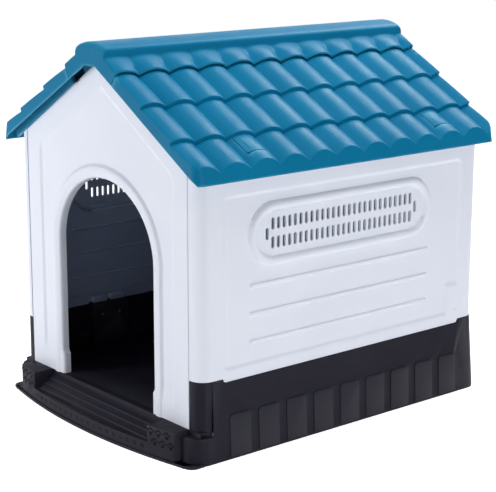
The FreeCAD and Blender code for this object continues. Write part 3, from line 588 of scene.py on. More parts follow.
def mark_shaded_inside(obj: Piece, way: Place3D) -> None:
    """Marks the faces of a wall that look into the cabin, for the painted shade that the wall finish gives
    them.

    Args:
        obj: The wall.
        way: Direction from the wall into the cabin.
    """
    faces = obj.data.polygons
    normals = np.empty(len(faces) * 3)
    faces.foreach_get("normal", normals)
    inward = normals.reshape(-1, 3) @ np.array(way) > 0.5
    marks = obj.data.attributes.new(SHADED_INSIDE_MARK, "FLOAT", "FACE")
    marks.data.foreach_set("value", inward.astype(np.float32))


def settle(obj: Piece, body: str, nodes: Sequence[str],
           material: Material, angle: float = 38.0) -> Piece:
    """Shades a finished piece and ties it to the frame.

    Args:
        obj: The piece.
        body: CAD body that it rides on.
        nodes: CAD nodes that it stands for.
        material: Its finish.
        angle: Edges sharper than this stay sharp, in degrees.

    Returns:
        The piece.
    """
    obj.data.materials.clear()
    obj.data.materials.append(material)
    obj.data.polygons.foreach_set("material_index", [0] * len(obj.data.polygons))
    obj.data.shade_smooth()
    obj.data.set_sharp_from_angle(angle=math.radians(angle))
    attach(obj, body)
    if nodes:
        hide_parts(*nodes)
    triangles = sum(len(face.vertices) - 2 for face in obj.data.polygons)
    LOG.info("%s: %d triangles, rides on %s", obj.name, triangles, body)
    return obj


class NodeBoard:
    """A tree of nodes while it is laid out."""

    def __init__(self, tree: bpy.types.NodeTree) -> None:
        """Takes the tree that the nodes go into."""
        self.tree = tree

    def feed(self, node: bpy.types.Node, inputs: Dict[Union[int, str], object]) -> None:
        """Links or sets the inputs of a node.

        Args:
            node: The node.
            inputs: Socket to link from, or plain value, for each input.
        """
        for key, value in inputs.items():
            if isinstance(value, Socket):
                self.tree.links.new(value, node.inputs[key])
            else:
                node.inputs[key].default_value = value

    def node(self, kind: str, inputs: Optional[Dict[Union[int, str], object]] = None,
             **settings: object) -> Sockets:
        """Adds a node, sets its options and links or sets its inputs.

        Args:
            kind: Type of the node.
            inputs: Socket to link from, or plain value, for each input.
            settings: Options of the node.

        Returns:
            Its outputs.
        """
        node = self.tree.nodes.new(kind)
        for label, value in settings.items():
            setattr(node, label, value)
        self.feed(node, inputs or {})
        return node.outputs

    def math(self, operation: str, *values: object) -> Socket:
        """Adds a number node and gives its result."""
        return self.node("ShaderNodeMath", dict(enumerate(values)), operation=operation)[0]

    def vector_math(self, operation: str, first: object, second: object) -> Sockets:
        """Adds a vector node and gives its outputs."""
        return self.node("ShaderNodeVectorMath", {0: first, 1: second}, operation=operation)

    def scaled(self, vector: Socket, factor: Socket) -> Socket:
        """A vector times a number."""
        return self.node("ShaderNodeVectorMath", {0: vector, "Scale": factor}, operation="SCALE")[0]

    def noise(self, place: Socket, scale: float, detail: float = 2.0) -> Socket:
        """Adds a noise and gives its strength."""
        return self.node("ShaderNodeTexNoise", {"Vector": place, "Scale": scale, "Detail": detail})["Fac"]

    def ranged(self, value: Socket, source: Place2D, result: Place2D = (0.0, 1.0),
               **settings: object) -> Socket:
        """Stretches a number from one range to another."""
        limits = {"From Min": source[0], "From Max": source[1], "To Min": result[0], "To Max": result[1]}
        return self.node("ShaderNodeMapRange", {"Value": value, **limits}, **settings)["Result"]

    def mixed(self, share: Socket, first: Union[Socket, Place3D], second: Union[Socket, Place3D]) -> Socket:
        """Blends two colours.

        Args:
            share: How much of the second one shows.
            first: Socket or plain colour.
            second: Socket or plain colour.

        Returns:
            Socket with the blend.
        """
        inputs = {"Factor": share}
        for key, tone in (("A", first), ("B", second)):
            inputs[key] = tone if isinstance(tone, Socket) else (*tone, 1.0)
        return self.node("ShaderNodeMix", inputs, data_type="RGBA")["Result"]


class ShapeTree(NodeBoard):
    """One Geometry Nodes tree while it is laid out."""

    def __init__(self, name: str, inputs: Dict[str, str]) -> None:
        """Starts a tree.

        Args:
            name: Name of the tree.
            inputs: Kind of socket for each named input.
        """
        super().__init__(bpy.data.node_groups.new(name, "GeometryNodeTree"))
        face = self.tree.interface
        for label, kind in {"Geometry": "Geometry", **inputs, "Material": "Material"}.items():
            face.new_socket(label, in_out="INPUT", socket_type="NodeSocket" + kind)
        face.new_socket("Geometry", in_out="OUTPUT", socket_type="NodeSocketGeometry")
        self.given = self.tree.nodes.new("NodeGroupInput").outputs
        self.result = self.tree.nodes.new("NodeGroupOutput").inputs

    def close(self, geometry: Socket) -> bpy.types.NodeTree:
        """Ends the tree with real geometry in its material.

        Args:
            geometry: What the tree has made.

        Returns:
            The tree.
        """
        real = self.node("GeometryNodeRealizeInstances", {"Geometry": geometry})[0]
        dress = {"Geometry": real, "Material": self.given["Material"]}
        self.tree.links.new(self.node("GeometryNodeSetMaterial", dress)[0], self.result[0])
        return self.tree


def run_tree(obj: Piece, tree: bpy.types.NodeTree, values: Dict[str, object]) -> Piece:
    """Runs a tree on an object and keeps the result as a plain mesh.

    Args:
        obj: Object whose mesh goes in.
        tree: The tree.
        values: Value for each named input.

    Returns:
        The same object.
    """
    modifier = obj.modifiers.new(tree.name, "NODES")
    modifier.node_group = tree
    for item in tree.interface.items_tree:
        if item.item_type == "SOCKET" and item.in_out == "INPUT" and item.name in values:
            modifier[item.identifier] = values[item.name]
    return bake(obj)


@dataclass(frozen=True)
class RowPlan:
    """How copies of a small shape stand in rows, in millimetres."""

    count: int
    start: Place3D
    step: Place3D = (0.0, 0.0, 0.0)
    rows: int = 1
    row_step: Place3D = (0.0, 0.0, 0.0)
    bow: float = 0.0


class Trees:
    """The Geometry Nodes trees that the pieces share."""

    def __init__(self) -> None:
        """Lays out both trees."""
        self.tile_wave = self._tile_wave()
        self.array = self._array()

    @staticmethod
    def _tile_wave() -> bpy.types.NodeTree:
        """Lays out the tree that presses a plain roof sheet into rows of arched tiles.

        Returns:
            The tree.
        """
        names = ("Pitch", "Radius", "First trough", "Deepest", "Valley softness")
        board = ShapeTree("tile_wave", {name: "Float" for name in names})
        given = board.given
        across = board.node("GeometryNodeInputNamedAttribute", {"Name": "wave_y"}, data_type="FLOAT")[0]
        fall = board.node("GeometryNodeInputNamedAttribute", {"Name": "fall"}, data_type="FLOAT_VECTOR")[0]
        shifted = board.math("SUBTRACT", across, given["First trough"])
        phase = board.math("DIVIDE", shifted, given["Pitch"])
        share = board.math("SUBTRACT", board.math("FRACT", phase), 0.5)
        off = board.math("MULTIPLY", share, given["Pitch"])
        square = board.math("MULTIPLY", given["Radius"], given["Radius"])
        height = board.math("SQRT", board.math("SUBTRACT", square, board.math("MULTIPLY", off, off)))
        arc = board.math("SUBTRACT", given["Radius"], height)
        drop = board.math("SMOOTH_MIN", arc, given["Deepest"], given["Valley softness"])
        move = {"Geometry": given["Geometry"], "Offset": board.scaled(fall, drop)}
        return board.close(board.node("GeometryNodeSetPosition", move)[0])

    @staticmethod
    def _array() -> bpy.types.NodeTree:
        """Lays out the tree that repeats one small shape in rows, which may follow a bow in plan.

        Returns:
            The tree.
        """
        board = ShapeTree("rows_of_shapes", {"Count": "Int", "Rows": "Int", "Start": "Vector",
                                             "Step": "Vector", "Row step": "Vector", "Bow": "Float"})
        given = board.given
        index = board.node("GeometryNodeInputIndex")[0]
        column = board.math("FLOORED_MODULO", index, given["Count"])
        row = board.math("FLOOR", board.math("DIVIDE", index, given["Count"]))
        along = board.scaled(given["Step"], column)
        down = board.scaled(given["Row step"], row)
        place = board.vector_math("ADD", board.vector_math("ADD", along, down)[0], given["Start"])[0]
        x = board.node("ShaderNodeSeparateXYZ", {0: place})[0]
        lean = board.math("MULTIPLY", x, given["Bow"])
        swing = board.node("ShaderNodeCombineXYZ", {"Y": board.math("MULTIPLY", x, lean)})[0]
        bowed = board.vector_math("ADD", place, swing)[0]
        angle = board.math("ARCTANGENT", board.math("MULTIPLY", lean, 2.0))
        turn = board.node("ShaderNodeCombineXYZ", {"Z": angle})[0]
        total = board.math("MULTIPLY", given["Count"], given["Rows"])
        points = board.node("GeometryNodePoints", {"Count": total, "Position": bowed})[0]
        copies = {"Points": points, "Rotation": turn, "Instance": given["Geometry"]}
        return board.close(board.node("GeometryNodeInstanceOnPoints", copies)[0])

    def press_tiles(self, sheet: Piece, material: Material) -> Piece:
        """Presses a plain roof sheet into tiles.

        Args:
            sheet: The sheet, with the values that the wave needs.
            material: Its finish.

        Returns:
            The same object.
        """
        return run_tree(sheet, self.tile_wave, {
            "Pitch": HOUSE.tile_pitch * MM, "Radius": HOUSE.tile_radius * MM,
            "First trough": HOUSE.first_trough * MM, "Deepest": (HOUSE.tile_rise - HOUSE.trough_lift) * MM,
            "Valley softness": HOUSE.valley_softness * MM, "Material": material})

    def repeat(self, unit: Piece, plan: RowPlan, material: Material) -> Piece:
        """Repeats one small shape in rows.

        Args:
            unit: The shape, at the origin.
            plan: Where its copies stand.
            material: Their finish.

        Returns:
            The same object, with all the copies.
        """
        values = {"Count": plan.count, "Rows": plan.rows, "Bow": plan.bow, "Material": material}
        for label, place in (("Start", plan.start), ("Step", plan.step), ("Row step", plan.row_step)):
            values[label] = [value * MM for value in place]
        return run_tree(unit, self.array, values)


@dataclass(frozen=True)
class MouldedPlastic:
    """Finish of one moulded plastic part."""

    name: str
    colour: Place3D
    shade: Place3D
    # Paler colour on sharp edges: partly rubbed wear, partly a painted highlight.
    edge: Place3D
    roughness: float = 0.45
    roughness_spread: float = 0.06
    grain: float = 0.12
    grain_scale: float = 900.0
    grain_depth: float = 0.0004
    mottle_scale: float = 5.0
    mottle_detail: float = 5.0
    mottle_range: Place2D = (0.35, 0.62)
    cloud_scale: float = 25.0
    cloud_detail: float = 4.0
    cloud_range: Place2D = (0.3, 0.7)
    edge_range: Place2D = (0.515, 0.60)
    edge_wear_highlight_share: float = 0.5
    sheen: float = 0.3
    # Painted shade: darker colour for wall faces marked as looking into the cabin.
    inside: Optional[Place3D] = None

    def make(self) -> Material:
        """Builds the material: soft mottling, a fine grain, paler edges that are partly wear and partly a
        painted highlight, and painted shade on faces inside the cabin.

        Returns:
            The material.
        """
        material = bpy.data.materials.new(self.name)
        material.use_nodes = True
        board = NodeBoard(material.node_tree)
        place = board.node("ShaderNodeTexCoord")["Object"]
        mottle = board.noise(place, self.mottle_scale, self.mottle_detail)
        tone = board.mixed(board.ranged(mottle, self.mottle_range), self.shade, self.colour)
        # Sharp edges, found by pointiness, blend towards the pale edge colour: partly wear, partly a painted
        # highlight, strongest on the roof.
        sharp = board.node("ShaderNodeNewGeometry")["Pointiness"]
        edge_wear_and_highlight = board.ranged(sharp, self.edge_range, (0.0, self.edge_wear_highlight_share))
        tone = board.mixed(edge_wear_and_highlight, tone, self.edge)
        # Faces that look into the cabin take a darker navy tone: painted shade of the dim cabin.
        if self.inside is not None:
            marked = board.node("ShaderNodeAttribute", attribute_name=SHADED_INSIDE_MARK)["Fac"]
            tone = board.mixed(marked, tone, self.inside)
        cloud = board.noise(place, self.cloud_scale, self.cloud_detail)
        limits = (self.roughness - self.roughness_spread, self.roughness + self.roughness_spread)
        relief = {"Strength": self.grain, "Distance": self.grain_depth,
                  "Height": board.noise(place, self.grain_scale)}
        board.feed(material.node_tree.nodes["Principled BSDF"], {
            "Base Color": tone, "Roughness": board.ranged(cloud, self.cloud_range, limits),
            "Normal": board.node("ShaderNodeBump", relief)["Normal"], "Specular IOR Level": self.sheen})
        return material


@dataclass(frozen=True)
class ZincSteel:
    """Finish of the plated screws."""

    name: str = "zinc_plated_steel"
    colour: Place3D = (0.56, 0.57, 0.58)
    dull: Place3D = (0.40, 0.41, 0.43)
    cloud_scale: float = 420.0
    roughness: Place2D = (0.25, 0.45)

    def make(self) -> Material:
        """Builds the material: bright metal with a cloudy plating.

        Returns:
            The material.
        """
        material = bpy.data.materials.new(self.name)
        material.use_nodes = True
        board = NodeBoard(material.node_tree)
        cloud = board.noise(board.node("ShaderNodeTexCoord")["Object"], self.cloud_scale)
        board.feed(material.node_tree.nodes["Principled BSDF"], {
            "Metallic": 1.0, "Base Color": board.mixed(cloud, self.dull, self.colour),
            "Roughness": board.ranged(cloud, (0.0, 1.0), self.roughness)})
        return material


class Finishes:
    """The five finishes of the house."""

    def __init__(self) -> None:
        """Makes each finish once."""
        # The roof's bright edge colour paints highlights along the tile noses and the eave edge.
        self.roof = MouldedPlastic(
            "roof_blue_satin", colour=(0.002, 0.186, 0.358), shade=(0.0015, 0.168, 0.330),
            edge=(0.09, 0.44, 0.66), roughness=0.36, grain=0.06, sheen=0.09).make()
        # The wall's inside colour is painted shade of the dim cabin; the plastic is the same white inside.
        self.wall = MouldedPlastic(
            "wall_cool_white", colour=(0.825, 0.862, 0.965), shade=(0.80, 0.838, 0.945),
            edge=(0.87, 0.90, 0.965), roughness=0.46, edge_wear_highlight_share=0.3, inside=(0.34, 0.40, 0.54)).make()
        self.base = MouldedPlastic(
            "base_charcoal", colour=(0.0172, 0.0165, 0.0275), shade=(0.014, 0.0132, 0.022),
            edge=(0.08, 0.078, 0.092), roughness=0.5, grain=0.16, sheen=0.09).make()
        # The prints' near-black paints the shade of recessed prints onto the raised domes.
        self.print = MouldedPlastic(
            "paw_print_black", colour=(0.0035, 0.0033, 0.0048), shade=(0.0022, 0.0021, 0.003),
            edge=(0.012, 0.012, 0.015), edge_wear_highlight_share=0.2, sheen=0.06).make()
        self.steel = ZincSteel().make()


@dataclass
class TiledPanel:
    """One lifting roof panel: three tile rows, verge boards and a leaning eave board.

    Outlines are given as run down the slope and rise off the tile line.
    """

    hand: Hand
    finishes: Finishes
    trees: Trees
    row_ends: Tuple[float, ...] = (103.0, 214.0, 299.0)
    row_step: float = 8.0
    row_grid: float = 11.0
    row_lean: float = 0.076
    camber: float = 0.8
    nose: float = 2.4
    nose_turns: int = 5
    foot: float = 1.6
    foot_rise: float = 0.1
    foot_turns: int = 3
    eave_nose: float = 2.2
    eave_turns: int = 8
    eave_grid: float = 0.1
    eave_foot: Place2D = (324.0, -27.9)
    eave_slide: float = 0.895
    eave_slide_run: float = 45.0
    tongue: float = 10.0
    lip_gap: float = 2.6
    verge_inset: float = 4.6
    board_depth: float = 35.0
    board_grid: int = 7
    edge_radius: float = 3.0
    edge_turns: Tuple[float, ...] = (0.0, 30.0, 60.0)
    corner: float = 20.0
    column_step: float = 5.4
    column_near: float = 1.2
    rib_start: float = 26.0
    rib_insets: Place2D = (5.0, 13.0)
    arm: Outline = ((-5.0, -15.6), (26.0, -15.6), (26.0, -8.5), (12.0, -12.0), (-5.0, -12.0))
    arm_thickness: float = 5.0
    eye_radius: float = 3.6
    eye_points: int = 20
    latch_ys: Tuple[float, ...] = (-222.5, 303.9)
    latch_half: float = 26.0
    latch_runs: Place2D = (217.4, 272.4)
    lug: Outline = ((219.0, -28.0), (231.0, -28.0), (231.0, -16.0), (219.0, -17.0))
    lug_thickness: float = 5.0
    # Hidden ledges that close the sight line through the gap round a latch: how far from
    # the latch's middle each one starts, and its outline.
    ledges: Tuple[Tuple[float, Outline], ...] = (
        (23.9, ((216.0, -20.0), (276.0, -14.6), (276.0, -10.6), (216.0, -16.0))),
        (13.0, ((234.5, -21.0), (277.0, -21.0), (277.0, -17.2), (234.5, -17.2))),
        (13.0, ((210.0, -34.0), (238.0, -34.0), (238.0, -31.0), (210.0, -31.0))))
    ledge_reach: float = 4.0

    @property
    def row_starts(self) -> Tuple[float, ...]:
        """Run at which each tile row starts."""
        return (0.0,) + self.row_ends[:-1]

    def crest(self, start: float, end: float, run: float) -> float:
        """Rise of a row's crest line at a run, with its slight camber."""
        share = (run - start) / (end - start)
        return -self.row_step * (1 - share) + self.camber * math.sin(math.pi * max(share, 0.0))

    def profile(self) -> np.ndarray:
        """Points down the slope.

        Returns:
            Array of run, rise, share of the wave, slide along the slope and share of the edge rounding.
        """
        points: List[Tuple[float, ...]] = []
        last = len(self.row_ends) - 1
        for row, (start, end) in enumerate(zip(self.row_starts, self.row_ends)):
            nose = self.eave_nose if row == last else self.nose
            first = -self.tongue if row == 0 else start + self.foot
            for run in ticks(first, end - nose, self.row_grid, (self.lip_gap, *self.latch_runs)):
                slide = 0.0
                if row == last:
                    slide = self.eave_slide * smooth_step(end - self.eave_slide_run, end - nose, run)
                points.append((run, self.crest(start, end, run), 1.0, slide, 1.0))
            brow = (end - nose, self.crest(start, end, end - nose))
            if row == last:
                points += self._eave(brow, end)
                continue
            turns = bend(brow, (end, 0.0), (end, -nose), self.nose_turns)[1:]
            heel = (end, -self.row_step + self.foot)
            toe = (end + self.foot, -self.row_step + self.foot_rise)
            turns += bend(heel, (end, -self.row_step), toe, self.foot_turns)[:-1]
            points += [(*place, 1.0, 0.0, 1.0) for place in turns]
        return np.array(points)

    def _eave(self, start: Place2D, end: float) -> List[Tuple[float, ...]]:
        """Rounded tile ends and the leaning board under them.

        Args:
            start: Run and rise where the rounding starts.
            end: Run at which the tiles end.

        Returns:
            More points of the profile.
        """
        edge = np.array((end, 0.0))
        reach = np.array(self.eave_foot) - edge
        first = self.eave_nose / float(np.hypot(*reach))
        points = []
        for index, place in enumerate(bend(start, (end, 0.0), edge + reach * first, self.eave_turns)[1:]):
            points.append((*place, 1.0, self.eave_slide, 1.0 - (index + 1) / self.eave_turns))
        for share in ticks(first, 1.0, self.eave_grid)[1:]:
            left = (1.0 - share) / (1.0 - first)
            points.append((*(edge + reach * share), left, self.eave_slide, 0.0))
        return points

    def columns(self) -> np.ndarray:
        """Places of the sheet's columns across the tiles.

        Returns:
            Y of each column.
        """
        must = beside(self.latch_ys, (-self.latch_half, self.latch_half))
        must += [outer + inward * self.verge_inset for outer, inward in HOUSE.verges]
        count = int((HOUSE.verge_rear - HOUSE.verge_front) / HOUSE.tile_pitch) + 2
        must += [HOUSE.first_trough + (index / 2 - 1) * HOUSE.tile_pitch for index in range(2 * count)]
        return ticks(HOUSE.verge_front + self.edge_radius, HOUSE.verge_rear - self.edge_radius,
                     self.column_step, must, near=self.column_near)

    def sheet(self) -> Piece:
        """Lays out the plain sheet with its verge boards, ready for the tile wave.

        Returns:
            The sheet, with the values that the wave needs.
        """
        run, rise, wave, slide, edge = self.profile().T
        foot_rise = self.eave_foot[1] + self.board_depth
        foot_run = self.eave_foot[0] - self.lip_gap
        bottom = -self.board_depth + (run - self.lip_gap) * foot_rise / foot_run
        top = rise - self.edge_radius * edge
        ends = []
        for y_edge, inward in HOUSE.verges:
            side = []
            for index in range(self.board_grid):
                share = index / self.board_grid
                side.append((np.full(len(run), y_edge), bottom + (top - bottom) * share, wave * share))
            for turn in np.radians(self.edge_turns):
                y = np.full(len(run), y_edge + inward * self.edge_radius * (1 - math.cos(turn)))
                side.append((y, rise - self.edge_radius * edge * (1 - math.sin(turn)), wave))
            ends.append(side)
        middle = [(np.full(len(run), y), rise, wave) for y in self.columns()]
        whole = ends[0] + middle + ends[1][::-1]
        y, heights, strength = (np.stack([column[part] for column in whole], axis=1) for part in range(3))
        runs = np.repeat(run[:, None], len(whole), axis=1)
        x, z = HOUSE.slope_point(runs, heights)
        along = (self.row_lean + slide)[:, None] * strength
        fall = np.stack([along * math.cos(HOUSE.pitch) - strength * math.sin(HOUSE.pitch), np.zeros_like(x),
                         -along * math.sin(HOUSE.pitch) - strength * math.cos(HOUSE.pitch)], axis=2)
        draft = MeshDraft()
        draft.add_grid(np.stack([x, y, z], axis=2), self._kept(runs, y), flip=True, wave_y=y * MM, fall=fall)
        return draft.to_object("roof_panel_" + self.hand.name.lower())

    def _kept(self, runs: np.ndarray, y: np.ndarray) -> np.ndarray:
        """Marks the faces that stay: no boards beside the tongue, and open latch windows.

        Args:
            runs: Run of each point.
            y: Y of each point.

        Returns:
            True for each face that stays.
        """
        mid_run = (runs[:-1, :-1] + runs[1:, 1:]) / 2
        mid_y = (y[:-1, :-1] + y[:-1, 1:]) / 2
        inside = mid_y > HOUSE.verge_front + self.verge_inset
        inside &= mid_y < HOUSE.verge_rear - self.verge_inset
        keep = inside | (mid_run > self.lip_gap)
        for place in self.latch_ys:
            window = (np.abs(mid_y - place) < self.latch_half) & (mid_run > self.latch_runs[0])
            keep &= ~(window & (mid_run < self.latch_runs[1]))
        return keep

    def round_corners(self, obj: Piece) -> None:
        """Rounds the two corners of the eave in plan.

        Args:
            obj: The pressed sheet.
        """
        mesh = obj.data
        points = np.empty(len(mesh.vertices) * 3)
        mesh.vertices.foreach_get("co", points)
        points = points.reshape(-1, 3) / MM
        top_x, top_z = HOUSE.slope_point(self.row_ends[-1], 0.0)
        foot_x, foot_z = HOUSE.slope_point(*self.eave_foot)
        share = np.clip((top_z - points[:, 2]) / (top_z - foot_z), 0, 1)
        outer = top_x + share * (foot_x - top_x)
        for y_edge, inward in HOUSE.verges:
            u = (points[:, 0] - outer + self.corner) / self.corner
            v = (y_edge + inward * self.corner - points[:, 1]) * inward / self.corner
            inside = (u > 0) & (v > 0)
            reach = np.maximum(np.hypot(u, v), 1e-6)
            pull = np.where(inside, np.maximum(u, v) / reach, 1.0)
            points[:, 0] = np.where(inside, outer - self.corner + u * pull * self.corner, points[:, 0])
            points[:, 1] = np.where(inside, y_edge + inward * self.corner * (1 - v * pull), points[:, 1])
        mesh.vertices.foreach_set("co", (points * MM).ravel())
        mesh.update()

    def underside(self) -> Piece:
        """Ribs, pivot arms, latch lugs and hidden ledges under the tiles.

        Returns:
            One object with all of them.
        """
        draft = MeshDraft()
        rest = -HOUSE.gable_drop + HOUSE.seam_gap
        for outer, inward in HOUSE.gables:
            ends = [outer + inward * inset for inset in self.rib_insets]
            sink = max(HOUSE.tile_drop(y) for y in ends) + HOUSE.roof_skin / 2
            line = [(self.rib_start, rest)]
            for start, end in zip(self.row_starts, self.row_ends):
                line += [(start or self.rib_start, -self.row_step - sink), (end, -sink)]
            line.append((self.row_ends[-1], rest))
            draft.add_prism(HOUSE.slope_path(line), *ends)
        eye = circle_path(*HOUSE.pivot, self.eye_radius, self.eye_points)
        for outer, inward in HOUSE.verges:
            near = outer + inward * self.verge_inset
            for outline in (self.arm, eye):
                draft.add_prism(HOUSE.slope_path(outline), near, near + inward * self.arm_thickness)
        blocks = [(self.latch_half, self.latch_half + self.lug_thickness, self.lug)]
        blocks += [(near, self.latch_half + self.ledge_reach, outline) for near, outline in self.ledges]
        for middle in self.latch_ys:
            for side in (-1, 1):
                for near, far, outline in blocks:
                    path = HOUSE.slope_path(outline)
                    draft.add_prism(path, middle + side * near, middle + side * far)
        return draft.to_object("roof_underside")

    def build(self) -> Piece:
        """Presses the sheet into tiles, gives it its wall and adds what hangs under it.

        Returns:
            The finished piece.
        """
        side = self.hand.name.lower()
        piece = self.trees.press_tiles(self.sheet(), self.finishes.roof)
        self.round_corners(piece)
        merge_doubles(piece)
        thicken(piece, HOUSE.roof_skin)
        piece = join_objects("roof_panel_" + side + "_tiles", [piece, self.underside()])
        if self.hand is Hand.LEFT:
            turn_round(piece, HOUSE.roof_mid_y)
        return settle(piece, "roof_" + side, ["roof_panel_" + side], self.finishes.roof)


@dataclass
class RidgeCap:
    """Ridge roll with the first tile row on both slopes and its end boards."""

    finishes: Finishes
    trees: Trees
    row_length: float = 47.0
    row_drop: float = 3.0
    row_camber: float = 0.4
    row_stop: float = 4.5
    row_points: int = 8
    nose: float = 3.2
    nose_turns: int = 5
    fade: float = 0.3
    fade_start: float = 4.0
    roll_half: float = 51.0
    roll_edge: float = 805.0
    roll_top: float = 817.0
    roll_foot: Place2D = (788.3, 792.5)
    roll_flank: Place2D = (796.0, 798.0)
    crown_half: float = 43.0
    crown_points: int = 9
    foot_turns: int = 4
    shoulder_turns: int = 7
    wave_end_share: float = 0.25
    rounding_end_share: float = 0.5
    board_depth: float = 35.0
    board_lean: Place2D = (1.7, 63.2)
    board_flat: float = 20.0
    board_flat_share: float = 0.4
    board_bottom: float = 768.0
    board_grid: int = 8
    edge_radius: float = 3.0
    roll_end_radius: float = 8.0
    column_step: float = 4.6
    column_near: float = 1.5
    half_troughs: Tuple[int, int] = (-3, 24)
    saddle: Outline = ((-15.0, -35.7), (-15.0, -17.0), (-47.0, -18.0))
    saddle_roof: Outline = ((49.0, 803.0), (30.0, 810.0))
    saddle_inset: float = 5.0
    tab_half: float = 20.0
    tab_reach: float = 8.0
    tab_heights: Place2D = (-40.0, 4.0)
    pin_radius: float = 1.8
    pin_points: int = 16
    pin_insets: Place2D = (2.0, 9.6)

    def lift(self, run: float) -> float:
        """Rise of the cap's tile row at a run, which is negative on the cap."""
        share = -run / self.row_length
        return -self.row_drop * share + self.row_camber * math.sin(math.pi * -run / self.row_length)

    def crown(self, x: float) -> float:
        """Height of the arched crown.

        Args:
            x: Distance from the middle.

        Returns:
            Z of the crown.
        """
        arch = self.roll_top - self.roll_edge
        radius = (self.roll_half ** 2 + arch ** 2) / (2 * arch)
        return self.roll_top - radius + math.sqrt(radius ** 2 - x ** 2)

    def half_section(self) -> List[Tuple[float, ...]]:
        """Right half of the cross section, from the lip to the crown.

        Returns:
            X, Z, share of the wave, radius of the rounding at the ends, and X and Z of the board's foot.
        """
        runs = np.linspace(-self.nose, -self.row_length + self.row_stop, self.row_points)
        brow = (-self.nose, self.lift(-self.nose))
        strip = bend((0.0, -HOUSE.roof_skin), (0.0, 0.0), brow, self.nose_turns)
        strip += [(run, self.lift(run)) for run in runs[1:]]
        points = []
        for run, rise in strip:
            wave = 1.0 - (1.0 - self.fade) * float(smooth_step(self.fade_start, self.row_length, -run))
            drop = -self.board_depth + run * self.board_lean[0] / self.board_lean[1]
            foot = HOUSE.slope_point(run, drop)
            points.append((*HOUSE.slope_point(run, rise), wave, self.edge_radius, *foot))
        x, z, *_, foot_x, foot_z = points[-1]
        half = self.roll_half
        path = bend((x, z), (half, self.roll_foot[0]), (half, self.roll_foot[1]), self.foot_turns)[1:]
        path += [(half, self.roll_flank[0])]
        path += bend((half, self.roll_flank[1]), (half, self.roll_edge),
                     (self.crown_half, self.crown(self.crown_half)), self.shoulder_turns)
        path += [(x, self.crown(x)) for x in np.linspace(self.crown_half, 0.0, self.crown_points)[1:]]
        flat = self.board_flat_share
        for index, (x, z) in enumerate(path):
            share = (index + 1) / len(path)
            if share < flat:
                foot = (foot_x + (self.board_flat - foot_x) * share / flat,
                        foot_z + (self.board_bottom - foot_z) * share / flat)
            else:
                foot = (self.board_flat * (1 - share) / (1 - flat), self.board_bottom)
            wave = self.fade * max(0.0, 1 - share / self.wave_end_share)
            grown = min(1.0, share / self.rounding_end_share)
            rounding = self.edge_radius + (self.roll_end_radius - self.edge_radius) * grown
            points.append((x, z, wave, rounding, *foot))
        return points

    def sheet(self) -> Piece:
        """Lays out the plain sheet of the cap with its end boards.

        Returns:
            The sheet, with the values that the tile wave needs.
        """
        right = np.array(self.half_section())
        left = right[-2::-1] * (-1, 1, 1, 1, -1, 1)
        x, z, wave, rounding, foot_x, foot_z = np.concatenate([right, left]).T
        sign = np.where(np.arange(len(x)) < len(right), 1.0, -1.0)[:, None]
        troughs = [HOUSE.first_trough + index * HOUSE.tile_pitch / 2 for index in range(*self.half_troughs)]
        must = troughs + [2 * HOUSE.roof_mid_y - y for y in troughs]
        inner = ticks(HOUSE.verge_front + self.roll_end_radius, HOUSE.verge_rear - self.roll_end_radius,
                      self.column_step, must, near=self.column_near)
        top = z - rounding
        ends = []
        for y_edge, inward in HOUSE.verges:
            side = []
            for index in range(self.board_grid):
                share = index / self.board_grid
                side.append((foot_x + (x - foot_x) * share, np.full(len(x), y_edge),
                             foot_z + (top - foot_z) * share, wave * share))
            for turn in np.radians(QUARTER_TURNS):
                side.append((x, y_edge + inward * rounding * (1 - math.cos(turn)),
                             z - rounding * (1 - math.sin(turn)), wave))
            ends.append(side)
        middle = [(x, np.full(len(x), y), z, wave) for y in inner]
        whole = ends[0] + middle + ends[1][::-1]
        xs, ys, zs, waves = (np.stack([column[part] for column in whole], axis=1) for part in range(4))
        turned = np.where(sign > 0, ys, 2 * HOUSE.roof_mid_y - ys)
        fall = np.stack([-waves * math.sin(HOUSE.pitch) * sign, np.zeros_like(xs),
                         -waves * math.cos(HOUSE.pitch)], axis=2)
        draft = MeshDraft()
        draft.add_grid(np.stack([xs, ys, zs], axis=2), wave_y=turned * MM, fall=fall)
        return draft.to_object("ridge_cap_sheet")

    def inside(self) -> Piece:
        """Saddles that sit on the gables, their screw tabs and the stub pins.

        Returns:
            One object with all of them.
        """
        draft = MeshDraft()
        valley = float(HOUSE.slope_height(0.0, -HOUSE.gable_drop + HOUSE.seam_gap))
        right = HOUSE.slope_path(self.saddle) + list(self.saddle_roof)
        line = right + [(-x, z) for x, z in right[::-1]] + [(0.0, valley)]
        low, high = (HOUSE.gable_apex + height for height in self.tab_heights)
        for outer, inward in HOUSE.gables:
            back = outer + inward * (HOUSE.panel_depth + self.tab_reach)
            draft.add_prism(line, outer + inward * self.saddle_inset, back)
            near = outer + inward * (HOUSE.panel_depth + HOUSE.seam_gap)
            draft.add_box((-self.tab_half, near, low), (self.tab_half, back, high))
        pin_x, pin_z = HOUSE.slope_point(*HOUSE.pivot)
        for side in (-1, 1):
            ring = circle_path(side * pin_x, pin_z, self.pin_radius, self.pin_points)
            for outer, inward in HOUSE.verges:
                draft.add_prism(ring, *(outer + inward * inset for inset in self.pin_insets))
        return draft.to_object("ridge_cap_inside")

    def build(self) -> Piece:
        """Presses the tile rows into the sheet and gives it its wall.

        Returns:
            The finished piece.
        """
        piece = self.trees.press_tiles(self.sheet(), self.finishes.roof)
        merge_doubles(piece)
        thicken(piece, HOUSE.roof_skin)
        for vertex in piece.data.vertices:
            vertex.co.y = min(max(vertex.co.y, HOUSE.verge_front * MM), HOUSE.verge_rear * MM)
        piece = join_objects("ridge_cap_roll", [piece, self.inside()])
        return settle(piece, "house", ["ridge_cap"], self.finishes.roof)


